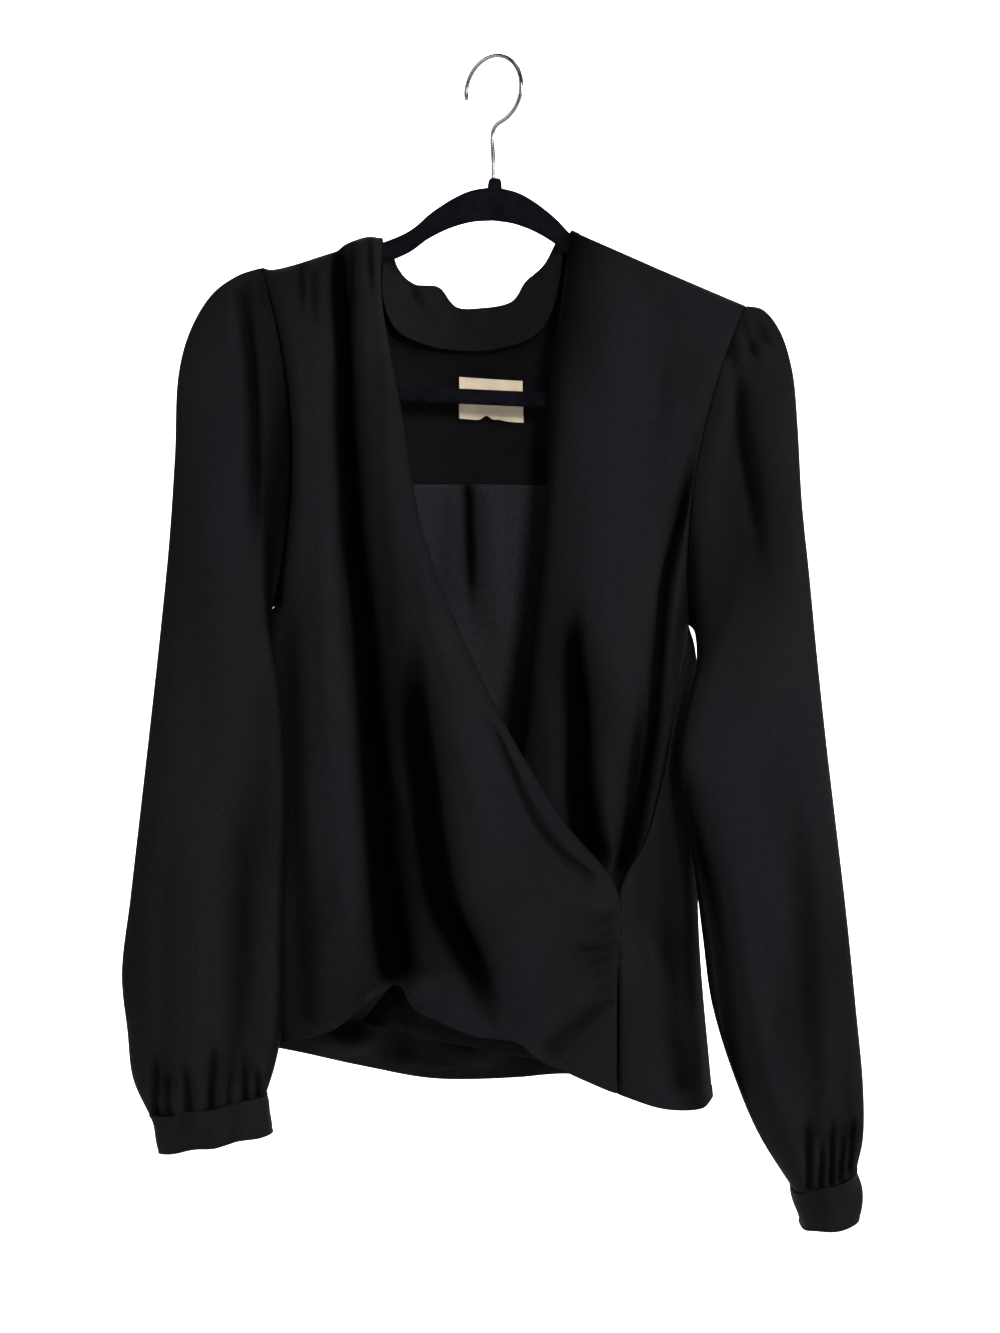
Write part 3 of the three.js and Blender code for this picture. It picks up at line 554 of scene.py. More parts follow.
left_sections = [
    (184, -182, 144, -415, 0, 11, 16, 12, 16),
    (197, -185, 147, -419, 0, 3, 18, 17, 12),
    (209, -200, 148, -425, 0, -2, 20, 17, 8),
    (218, -228, 148, -433, -1, -9, 21, 17, 4),
    (222, -266, 147, -445, -2, -18, 22, 16, 0),
    (225, -325, 142, -462, -5, -30, 22, 16, 0),
    (230, -380, 135, -490, -9, -39, 23, 18, 0),
    (235, -440, 132, -517, -14, -42, 25, 20, 0),
    (241, -502, 138, -556, -18, -38, 28, 22, 0),
    (248, -565, 145, -596, -21, -32, 30, 25, 0),
    (255, -628, 151, -640, -23, -25, 32, 28, 0),
    (261, -690, 158, -690, -24, -26, 34, 30, 0),
    (266, -745, 174, -742, -24, -26, 36, 33, 0),
    (266, -782, 192, -784, -24, -25, 38, 35, 0),
    (261, -805, 216, -822, -24, -24, 36, 34, 0),
]
armhole_cells = 76  # round half an armhole, from the shoulder to the underarm
bluntness = 0.7


def section_loops(table, side, count):
    """Loops of a sleeve: the angle runs from the outer fold, the share across is (1 - cos) / 2, and the swell
    is the sine to the power of the bluntness. The front runs from left to right."""
    outer_x, outer_z, inner_x, inner_z, y_out, y_in, front, back, bow = (
        table[:, k:k + 1] for k in range(len(sleeve_columns)))
    angle = 2 * np.pi * np.arange(count) / count
    share = (1 - np.cos(angle)) / 2
    swell = np.abs(np.sin(angle)) ** bluntness
    at_front = (np.sin(angle) > 0) == (side < 0)
    x = outer_x + (inner_x - outer_x) * share - side * bow * 4 * share * (1 - share)
    y = y_out + (y_in - y_out) * share + np.where(at_front, -front * swell, back * swell)
    z = outer_z + (inner_z - outer_z) * share + 0 * x
    return np.stack([x, y, z], -1), at_front


def armhole_edges(table, side):
    """The front and the back half of an armhole, each from the shoulder to the underarm."""
    loop = section_loops(np.array(table[:1], float), side, 2 * armhole_cells)[0][0]
    first, second = loop[:armhole_cells + 1], np.vstack([loop[:1], loop[:armhole_cells - 1:-1]])
    return (first, second) if side < 0 else (second, first)


right_sleeve_folds = [
    fold([(-181, -158), (-180, -189), (-176, -226), (-174, -262), (-174, -330), (-173, -400)],
         (4.0, 5.5), 13, (6, 110)),
    fold([(-170, -158), (-165, -190)], 2.4, 8, (4, 16)),
    fold([(-190, -168), (-192, -200), (-191, -235)], (3, 8), -3.5, (6, 40)),
    fold([(-175, -156), (-174, -176)], 3.2, -5, (3, 9)),
    fold([(-188, -164), (-187, -190)], 2.4, 6, (4, 18)),
    fold([(-176, -500), (-180, -611), (-183, -690), (-190, -745)], (10, 7), 7, (90, 14)),
    fold([(-214, -330), (-210, -450), (-212, -560)], (14, 12), 3.5, (80, 80)),
    fold([(-226, -540), (-232, -640), (-231, -752)], (9, 6), 5, (70, 14)),
    fold([(-205, -560), (-207, -660), (-207, -738)], (9, 6), -3.5, (70, 40)),
    fold([(-160, -430), (-166, -520), (-160, -620)], (8, 10), 4, (50, 60)),
    fold([(-239, -708), (-240, -768)], (3.6, 2.6), 9, (30, 3)),
    fold([(-231, -726), (-230, -766)], (2.6, 2.0), 7, (20, 3)),
    fold([(-219, -716), (-216, -764)], (3.6, 2.4), 8, (26, 3)),
    fold([(-199, -700), (-201, -762)], (4.4, 2.6), 9.5, (34, 3)),
    fold([(-187, -728), (-188, -760)], (2.6, 2.0), 6, (16, 3)),
    fold([(-176, -712), (-178, -758)], (3.6, 2.4), 8, (26, 3)),
    fold([(-168, -724), (-169, -754)], (3, 2), 6, (16, 3)),
    fold([(-224, -735), (-224, -766)], (4, 3), -3, (14, 3)),
    fold([(-208, -738), (-209, -763)], (4, 3), -2.6, (14, 3)),
    fold([(-184, -738), (-184, -758)], (4, 3), -2.6, (12, 3)),
]
left_sleeve_folds = [
    fold([(168, -205), (178, -244), (181, -277), (187, -312), (192, -360), (196, -410)],
         (4.4, 6), 11, (8, 110)),
    fold([(179, -188), (185, -206), (193, -222)], 2.6, 9, (4, 10)),
    fold([(186, -186), (193, -200), (202, -212)], 2.4, 8, (4, 12)),
    fold([(173, -190), (173, -222)], 2.2, 7, (4, 16)),
    fold([(186, -186), (194, -210), (200, -240)], (3, 6), -3, (5, 26)),
    fold([(176, -192), (178, -214)], 2.2, 3, (5, 10)),
    fold([(204, -260), (210, -360), (214, -450)], (14, 12), 3, (60, 80)),
    fold([(210, -490), (217, -583), (223, -670), (226, -790)], (10, 8), 6, (90, 16)),
    fold([(133, -510), (140, -551), (156, -608), (164, -660), (171, -722), (178, -763), (192, -800)],
         (3.6, 5), 13, (30, 24), 2.2),
    fold([(165, -560), (176, -640), (190, -720), (208, -790)], (8, 9), -4, (60, 50)),
    fold([(244, -590), (250, -690), (252, -790)], (9, 7), 6, (80, 20)),
    fold([(221, -758), (225, -818)], (3.4, 2.2), 9, (30, 3)),
    fold([(233, -770), (232, -818)], (3.6, 2.2), 8, (24, 3)),
    fold([(241, -752), (239, -815)], (3.4, 2.2), 9, (34, 3)),
    fold([(250, -766), (246, -812)], (3.2, 2.2), 8, (22, 3)),
    fold([(257, -760), (253, -808)], (3.2, 2.0), 7, (20, 3)),
    fold([(228, -780), (228, -818)], (3, 2.4), -2.6, (14, 3)),
    fold([(237, -780), (236, -816)], (3, 2.4), -2.6, (14, 3)),
]
back_sleeve_folds = [
    fold([(-196, -185), (-196, -280), (-190, -370)], (8, 12), 9, (20, 80)),
    fold([(-205, -420), (-214, -560), (-219, -690), (-214, -756)], (12, 8), 10, (90, 20)),
    fold([(-180, -440), (-178, -560), (-184, -680)], (11, 11), 8, (80, 70)),
    fold([(198, -212), (200, -300), (196, -380)], (8, 12), 9, (20, 80)),
    fold([(186, -440), (196, -560), (212, -680), (234, -800)], (12, 8), 10, (90, 20)),
    fold([(222, -480), (232, -600), (240, -700)], (11, 11), 7, (80, 70)),
] + [fold([(x + 3, z + 44), (x, z)], (4, 2.4), 4.5, (18, 3)) for x, z in (
    (-236, -766), (-224, -764), (-211, -762), (-199, -759), (-187, -757), (-175, -755),
    (224, -818), (232, -816), (240, -814), (249, -811))]


edge_shade = 13  # painted shade along the sleeve's inner edge, which lies close against the body


def sleeve_shell(name, sections, side, front_folds, seed):
    """A sleeve from smooth sections, pushed in along its front and back folds, drifting a little between."""
    table = spline(sections, closer_at_ends(250, 0.35))
    points, at_front = section_loops(table, side, 2 * armhole_cells)
    x, z = points[..., 0], points[..., 2]
    below = soft_step((np.arange(len(points)) / len(points))[:, None] / 0.06)
    above = soft_step((1 - np.arange(len(points)) / (len(points) - 1))[:, None] / 0.03)
    loop_share = (1 - np.cos(2 * np.pi * np.arange(2 * armhole_cells) / (2 * armhole_cells))) / 2
    inside_edge = soft_step(4 * loop_share * (1 - loop_share) / 0.25)
    calm = below * above * inside_edge
    front_push = folded(front_folds, x, z) * inside_edge * np.maximum(below, 0.35)
    front_push += calm * drift(x, z, seed, 75, 2.0)
    back_push = folded(back_sleeve_folds, x, z) * inside_edge * below + calm * drift(x, z, seed + 1, 75, 2.0)
    points[..., 1] += np.where(at_front, front_push, -back_push)
    inner = x.max(1, keepdims=True) if side < 0 else x.min(1, keepdims=True)
    # Painted shade: the depth of the folds, a band along the inner edge and a random mottle.
    painted_shade_and_mottle = np.where(at_front, front_push, back_push) + edge_shade * np.exp(-((x - inner) / 4) ** 2)
    painted_shade_and_mottle += 1.2 * drift(x, z, seed + 2, 90, 2.0)
    points[1:] = np.where(at_front[None, :, None], clear_of_hanger(points[1:].copy(), -1),
                          clear_of_hanger(points[1:].copy(), 1))
    return cloth_object(name, points, closed=True, painted_shade_and_mottle=painted_shade_and_mottle)


sleeve_right = sleeve_shell("sleeve_right_cloth", right_sections, -1, right_sleeve_folds, 3)
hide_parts("sleeve_right")
sleeve_left = sleeve_shell("sleeve_left_cloth", left_sections, 1, left_sleeve_folds, 5)
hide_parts("sleeve_left")

# ---- The cuffs ----
# Narrow straight bands of doubled crepe, closed round the wrist, with the gathered sleeve sewn into the upper
# edge and a row of small stitches along both edges.

right_cuff_sections = [
    (-246, -767, -163, -752, -34, -34, 23, 22, 0),
    (-243, -781, -160, -767, -34, -34, 24, 23, 0),
    (-239, -793, -159, -779, -34, -34, 23, 22, 0),
]
left_cuff_sections = [
    (261, -805, 216, -822, -24, -24, 36, 34, 0),
    (265, -821, 218, -835, -24, -24, 37, 35, 0),
    (262, -840, 222, -849, -24, -24, 35, 33, 0),
]


def band_relief(distance, stitch_at):
    """A doubled edge: the cloth stands 0.5 mm proud up to its stitches, which pull a narrow groove."""
    proud = 0.5 * soft_step((stitch_at + 1.2 - distance) / 1.2)
    return proud - 0.55 * np.exp(-((distance - stitch_at) / 0.7) ** 2)


def outward_normals(points, closed=False):
    """Unit normals of a grid of points, from the differences along its rows and columns."""
    if closed:
        sideways = np.roll(points, -1, axis=1) - np.roll(points, 1, axis=1)
    else:
        sideways = np.gradient(points, axis=1)
    normal = np.cross(np.gradient(points, axis=0), sideways)
    return normal / np.maximum(np.linalg.norm(normal, axis=-1, keepdims=True), 1e-9)


def cuff_shell(name, sections, side, seed):
    """A band between sections, a touch fuller than the sleeve's foot, softly dented, with two stitch rows."""
    rows = 30
    points, at_front = section_loops(spline(sections, closer_at_ends(rows, 0.5)), side, 2 * armhole_cells)
    share = even(rows)[:, None]
    height = 25.0
    relief = band_relief(height * (1 - share), 2.4) + band_relief(height * share, 2.4)
    points[..., 2] += drift(points[..., 0], points[..., 1], seed + 4, 30, 0.9)
    ripple = drift(points[..., 0], points[..., 2], seed, 22, 1.5) * np.sin(np.pi * share * 0.9 + 0.2)
    lift = 0.5 + relief + ripple
    points += lift[..., None] * outward_normals(points, closed=True)
    return cloth_object(name, points, closed=True, thick=1.2, doubled=True)


cuff_right = cuff_shell("cuff_right_band", right_cuff_sections, -1, 11)
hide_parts("cuff_right")
cuff_left = cuff_shell("cuff_left_band", left_cuff_sections, 1, 12)
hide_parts("cuff_left")

# ---- The back yoke ----
# A plain crepe yoke over both shoulder blades, sewn to the fronts along the shoulders, to the collar round
# the neck and to the back below. It lies over the hanger's arms.

yoke_cells = 46  # of the armhole's cells, those that the yoke takes
right_front_armhole, right_back_armhole = armhole_edges(right_sections, -1)
left_front_armhole, left_back_armhole = armhole_edges(left_sections, 1)


def rounding(share, reach):
    """How far a face has come out of a rounded edge: 0 at the edge, 1 from the reach on, a quarter circle."""
    if not reach:
        return np.ones_like(share)
    return np.sqrt(1 - (1 - np.clip(share / reach, 0, 1)) ** 2)


def calmed(edge, reach=45):
    """An edge whose corners are smoothed over a reach, each end held. Every point becomes the mean of its
    neighbours, weighted by a bell of their distance along the edge."""
    length = np.concatenate([[0], np.cumsum(np.linalg.norm(np.diff(edge, axis=0), axis=1))])
    spread = reach * np.minimum(1, np.minimum(length, length[-1] - length) / (2 * reach)) + 0.01
    cell = np.gradient(length)
    weight = np.exp(-((length[:, None] - length) / spread[:, None]) ** 2) * cell
    return weight @ edge / weight.sum(1, keepdims=True)


corner_reach = 0.14  # the share of a panel's width in which it takes up the corners of its side edges


def panel(top, bottom, left, right, belly, out, turn=None, folds=(), wander=(0, 60, 0)):
    """A cut piece between four edges, blended so that it meets each of them (a Coons patch), then bellied out
    by its table of (z, out), rounded over at the edges that have a turn, pushed in along its folds and left
    to drift a little. Rows run down and columns run left to right as seen from outside. It also gives the
    painted shade of its folds, with a random mottle."""
    turn = turn or {}
    v = (np.linalg.norm(left - left[0], axis=1) / np.linalg.norm(left[-1] - left[0]))[:, None, None]
    u = even(len(top) - 1)[None, :, None]
    calm_left, calm_right = calmed(left), calmed(right)
    points = top[None] * (1 - v) + bottom[None] * v + calm_left[:, None] * (1 - u) + calm_right[:, None] * u
    upper, lower = top[0] * (1 - u) + top[-1] * u, bottom[0] * (1 - u) + bottom[-1] * u
    points = points - (upper * (1 - v) + lower * v)
    points += (left - calm_left)[:, None] * (1 - soft_step(u / corner_reach))
    points += (right - calm_right)[:, None] * (1 - soft_step((1 - u) / corner_reach))
    x, z = points[..., 0], points[..., 2]
    swell = (rounding(u, turn.get("left")) * rounding(1 - u, turn.get("right"))
             * rounding(v, turn.get("top")) * rounding(1 - v, turn.get("bottom")))[..., 0]
    heights, outs = np.array(belly, float)[::-1].T
    seed, size, amount = wander
    ease = swell * soft_step(np.minimum(u, 1 - u)[..., 0] / 0.08) * soft_step(v[..., 0] / 0.05)
    into = swell * folded(folds, x, z)
    push = swell * np.interp(z, heights, outs) - into - ease * drift(x, z, seed, size, amount)
    points[..., 1] += out * push
    points[1:] = clear_of_hanger(points[1:], out)
    # Painted shade: the depth of the folds, with a random mottle.
    return points, into + 1.5 * drift(x, z, seed + 1, 1.3 * size, 1.4)


back_columns = 128
yoke_seam = spline([
    left_back_armhole[yoke_cells], (108, 22, -318), (38, 22, -311), (-58, 22, -310), (-113, 22, -311),
    right_back_armhole[yoke_cells]], even(back_columns))
back_neck = [
    (53, 6, -130), (45, 9, -178), (31, 13, -200), (5, 16, -209), (-17, 16, -211), (-45, 15, -208),
    (-72, 12, -196), (-82, 9, -172), (-81, 6, -135),
]
left_neck_point, right_neck_point = np.array((57, 0, -126.0)), np.array((-81, 0, -131.5))
shoulder_columns = 28
neck_columns = back_columns - 2 * shoulder_columns - 2
yoke_top = np.vstack([
    spline([left_back_armhole[0], left_neck_point], even(shoulder_columns)),
    spline(back_neck, even(neck_columns)),
    spline([right_neck_point, (-100, 2, -138.5), (-124, 3, -146.5), (-146, 2, -153), (-161, 1, -156.5),
            right_back_armhole[0]], even(shoulder_columns)),
])
yoke_folds = [
    fold([(-60, -262), (-20, -272), (40, -266)], 9, 1.6, (40, 40)),
    fold([(36, -262), (22, -282), (10, -296)], 5, 2.2, (12, 14)),
    fold([(-110, -190), (-96, -240), (-92, -290)], 12, 3, (40, 40)),
    fold([(96, -210), (84, -250), (80, -300)], 12, 3, (40, 40)),
]
yoke_points, _ = panel(
    yoke_top, yoke_seam, left_back_armhole[:yoke_cells + 1], right_back_armhole[:yoke_cells + 1],
    [(-130, 8), (-200, 5), (-320, 5)], 1, turn={"top": 0.15, "bottom": 0.3, "left": 0.1, "right": 0.1},
    folds=yoke_folds, wander=(21, 70, 0.7))
yoke_shade = 6  # painted shade over the whole yoke, which lies in the shade of both fronts
back_yoke = cloth_object("back_yoke_cloth", yoke_points, doubled=True,
                         painted_shade_and_mottle=np.full(yoke_points.shape[:2], yoke_shade))
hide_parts("back_yoke")

# ---- The back body ----
# One wide piece of crepe below the yoke. Its spare width is laid in an inverted pleat at the middle of the
# seam, and hangs in soft folds from there to the hem.

side_rows = 170
right_side_seam = spline([
    right_front_armhole[-1], (-170, 11, -412), (-176, 12, -470), (-178, 14, -600), (-171, 16, -726)],
    closer_at_ends(side_rows, 0.45))
left_side_seam = spline([
    left_front_armhole[-1], (149, 11, -434), (150, 13, -500), (152, 15, -644), (162, 16, -763)],
    closer_at_ends(side_rows, 0.45))
back_hem = spline([
    left_side_seam[-1], (109, 38, -759), (58, 44, -753), (16, 42, -755), (-40, 45, -757), (-100, 40, -746),
    right_side_seam[-1]], even(back_columns))
back_folds = [
    fold([(-19, -306), (-18, -350), (-16, -400), (-15, -430)], (3.4, 4.6), -9, (3, 70), 2.4),
    fold([(-30, -312), (-30, -380), (-32, -440)], (5, 8), 3, (10, 60)),
    fold([(-5, -312), (-3, -380), (2, -460)], (5, 9), 3.5, (10, 60)),
    fold([(-95, -420), (-100, -560), (-108, -740)], (12, 15), 12, (80, 20)),
    fold([(70, -430), (78, -580), (86, -755)], (12, 15), 12, (80, 20)),
    fold([(-30, -520), (-22, -640), (-14, -750)], (12, 14), 9, (80, 20)),
    fold([(-62, -560), (-66, -660), (-70, -752)], (12, 16), -5, (90, 20)),
    fold([(30, -480), (34, -620), (36, -752)], (12, 16), -5, (90, 20)),
    fold([(122, -440), (126, -560), (132, -700)], (9, 10), 6, (60, 70)),
    fold([(-140, -430), (-142, -540), (-146, -660)], (9, 10), 6, (60, 70)),
    fold([(128, -330), (112, -380), (100, -440)], (7, 9), 5, (20, 50)),
    fold([(-134, -318), (-118, -370), (-108, -430)], (7, 9), 5, (20, 50)),
]
body_points, body_shade_and_mottle = panel(
    yoke_seam, back_hem,
    np.vstack([left_back_armhole[yoke_cells:], left_side_seam[1:]]),
    np.vstack([right_back_armhole[yoke_cells:], right_side_seam[1:]]),
    [(-316, 4), (-420, 9), (-540, 13), (-660, 14), (-757, 8)], 1,
    turn={"left": 0.14, "right": 0.14, "top": 0.05}, folds=back_folds, wander=(23, 70, 1.3))


def hemmed(points, height, across=False, at_end=True):
    """Gives an edge of a grid its turned-up hem: a band stands proud along the last row, or last column, with
    a stitched groove at its top. The distance from the edge is summed along the grid."""
    axis = 1 if across else 0
    steps = np.linalg.norm(np.diff(points, axis=axis), axis=-1)
    travelled = np.concatenate([np.zeros_like(np.take(steps, [0], axis)), np.cumsum(steps, axis)], axis)
    distance = travelled.max(axis, keepdims=True) - travelled if at_end else travelled
    return points + band_relief(distance, height)[..., None] * outward_normals(points)


body_x, body_z = body_points[..., 0], body_points[..., 2]
# Painted shade: the folds, faintly, on the outside; on the inside also along the pleat and towards the hem.
pleat_shade, hem_shade = 16, 9
body_inside_shade_and_mottle = abs(body_shade_and_mottle) + folded([dict(back_folds[0], depth=pleat_shade)], body_x, body_z)
body_inside_shade_and_mottle += hem_shade * soft_step((-700 - body_z) / 20)
back_body = cloth_object("back_body_cloth", hemmed(body_points, 9), painted_shade_and_mottle=0.6 * abs(body_shade_and_mottle),
                         inside=body_inside_shade_and_mottle)
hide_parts("back_body")

# ---- The back collar ----
# A soft stand collar of doubled crepe round the back neck. It leans outwards, and its upper edge waves and
# rolls over a little at both ends, where it runs into the shoulder seams.

collar_rows = 26
collar_foot = spline(back_neck, even(neck_columns)) + np.array((0, -0.6, -1.6))
collar_edge = spline([
    (47, 7, -131.5), (37, 13, -149), (24, 20, -160), (14, 25, -174), (-10, 27, -179), (-28, 27, -178),
    (-40, 25, -164), (-58, 20, -162), (-70, 12, -152), (-75, 7, -138)], even(neck_columns))
collar_folds = [
    fold([(-68, -150), (-56, -176), (-36, -190)], (4, 5), 4, (8, 16)),
    fold([(-56, -162), (-48, -182), (-30, -196)], (4, 4), -2.5, (8, 16)),
    fold([(38, -150), (28, -176), (16, -192)], (4, 5), 3, (8, 16)),
    fold([(4, -180), (6, -206)], (4, 6), 1.8, (6, 6)),
    fold([(-22, -180), (-24, -208)], (4, 6), 1.5, (6, 6)),
    fold([(-44, -166), (-30, -174)], (3, 3), 2.4, (5, 8)),
]
v = closer_at_ends(collar_rows)[:, None, None]
collar_points = collar_edge[None] * (1 - v) + collar_foot[None] * v
collar_points[..., 1] += 3 * np.sin(np.pi * v[..., 0]) + folded(collar_folds, collar_points[..., 0],
                                                              collar_points[..., 2])
collar_points = hemmed(collar_points, 1.6, at_end=False)
back_collar = cloth_object("back_collar_cloth", collar_points, thick=1.4, doubled=True)
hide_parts("back_collar")

# ---- The neck label ----
# A bare tape of cream satin weave, folded and sewn by its top corners inside the yoke. Its lower edge has a
# small worn dip. No lettering stands on it.


def cream_tape():
    """Cream satin tape: fine crossing ribs, a warmer tone in soft patches and a soft shine."""
    material, shader, node, link = new_material("cream tape", 0.5)
    shader.inputs["Specular IOR Level"].default_value = 0.3
    place = node("ShaderNodeTexCoord")
    ribs = node("ShaderNodeTexWave", Scale=620.0, Distortion=1.2, bands_direction="Z")
    ends = node("ShaderNodeTexWave", Scale=480.0, Distortion=1.0, bands_direction="X")
    worn = node("ShaderNodeTexNoise", Scale=55.0, Detail=4.0)
    tones = node("ShaderNodeValToRGB")
    tones.color_ramp.elements[0].position = 0.3
    tones.color_ramp.elements[0].color = (0.74, 0.61, 0.43, 1)
    tones.color_ramp.elements[1].position = 0.7
    tones.color_ramp.elements[1].color = (0.90, 0.76, 0.56, 1)
    weave = node("ShaderNodeMath", operation="MULTIPLY")
    bump = node("ShaderNodeBump", Strength=0.5, Distance=0.00012)
    for texture in (ribs, ends, worn):
        link(place.outputs["Object"], texture.inputs["Vector"])
    link(worn.outputs["Fac"], tones.inputs["Fac"])
    link(tones.outputs["Color"], shader.inputs["Base Color"])
    link(ribs.outputs["Fac"], weave.inputs[0])
    link(ends.outputs["Fac"], weave.inputs[1])
    link(weave.outputs["Value"], bump.inputs["Height"])
    link(bump.outputs["Normal"], shader.inputs["Normal"])
    return material


label_low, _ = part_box("neck_label")
label_width, label_height = 47, 31
label_top, label_centre = -232, -2
u, v = np.meshgrid(np.linspace(-0.5, 0.5, 72), even(50))
dip = 3.4 * np.exp(-((u + 0.07) / 0.075) ** 2) + 1.1 * np.exp(-((u - 0.12) / 0.10) ** 2)
label_x = label_centre + u * label_width + 1.5 * v * (u > 0) * u
label_z = label_top - v * label_height - u * 3 + v ** 6 * dip
label_y = (1000 * label_low.y + 1.2 - 1.0 * np.sin(np.pi * v) + 1.2 * np.cos(3.2 * u) - 1.2
           - 0.5 * np.sin(9 * u + 1) * v)
label_points = np.stack([label_x, label_y, label_z], -1)
neck_label = mesh_object("neck_label_tape", MM * label_points, grid_faces(51, 72), cream_tape())
tape = neck_label.modifiers.new("tape thickness", "SOLIDIFY")
tape.thickness, tape.offset = 0.0006, -1
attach(neck_label, "root")
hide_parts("neck_label")

# ---- The left front ----
# The under side of the wrap: one piece of crepe from the left shoulder. Its folded front edge passes below
# the right front and comes out again as a small corner at the hem.

side_edge = spline([
    (141, 0, -431), (132, -20, -470), (121, -27, -528), (108.5, -30.5, -571), (89, -30, -609),
    (86, -20, -680), (84, -18, -740)], closer_at_ends(side_rows - 1, 0.3))
under_right = np.vstack([left_front_armhole, side_edge])


def matching(edge):
    """The shares of another edge's rows, by their distance from its first point."""
    distance = np.linalg.norm(edge - edge[0], axis=1)
    return np.maximum.accumulate(distance / distance[-1])


under_left = spline([
    left_neck_point, (50, -9, -179), (41, -13, -252), (38, -16, -330), (29, -18, -426), (19, -18, -506),
    (-2, -14, -571), (-39, -8, -632), (-96, -6, -705)], matching(under_right))
under_columns = 120
under_folds = [
    fold([(59, -385), (58, -438), (61, -480), (62, -533), (66, -568), (76, -596)],
         (5, 9.5), 30, (90, 20), 2.4),
    fold([(109, -450), (105, -488), (100, -532), (95, -570), (88, -604)], (3.5, 3), 8, (60, 12), 2.2),
    fold([(119, -200), (119, -252), (118, -320)], (9, 9), 2.2, (50, 60)),
    fold([(131, -225), (130, -270), (127, -310)], (8, 7), -2.0, (40, 50)),
    fold([(156, -255), (148, -287), (141, -314), (134, -345), (126, -380), (121, -430), (114, -499),
          (101, -570), (92, -598)], (4.4, 4), 17, (70, 14), 2.2),
    fold([(140, -330), (133, -372), (127, -430), (120, -500)], (5, 5), -3.5, (40, 50)),
    fold([(92, -230), (88, -330), (86, -430)], (18, 14), -3.0, (90, 90)),
    fold([(42, -420), (42, -500), (46, -560)], (8, 9), -3.0, (60, 30)),
    fold([(80, -480), (80, -540), (84, -590)], (8, 6), -4.0, (60, 12)),
    fold([(70, -140), (72, -180)], (4, 6), 1.6, (6, 30)),
    fold([(108, -158), (110, -200)], (4, 6), 1.3, (6, 30)),
]
under_points, under_shade_and_mottle = panel(
    spline([under_left[0], under_right[0]], closer_at_ends(under_columns, 0.3)),
    spline([under_left[-1], (-20, -8, -722), under_right[-1]], closer_at_ends(under_columns, 0.3)),
    under_left, under_right,
    [(-125, 9), (-200, 10), (-330, 12), (-480, 13), (-560, 6), (-640, 0)], -1,
    turn={"right": 0.16, "top": 0.06, "left": 0.14}, folds=under_folds, wander=(31, 70, 1.4))
from_edge = np.linalg.norm(under_points - under_points[:, :1], axis=-1)
# Painted shade along the front edge, which lies in the shade of the right front, added to the folds' painted
# shade.
neckline_shade, shade_width = 16, 24
under_shade_and_mottle += neckline_shade * np.exp(-(from_edge / shade_width) ** 2)
front_left_under = cloth_object("front_left_under_cloth",
                                hemmed(hemmed(under_points, 9), 7, across=True, at_end=False),
                                painted_shade_and_mottle=under_shade_and_mottle)
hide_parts("front_left_under")

# ---- The right front ----
# The upper side of the wrap: the widest piece. It hangs in deep folds from the bunched shoulder, its folded
# edge runs down across the chest as a soft roll, and it is gathered into a short seam at the left waist.

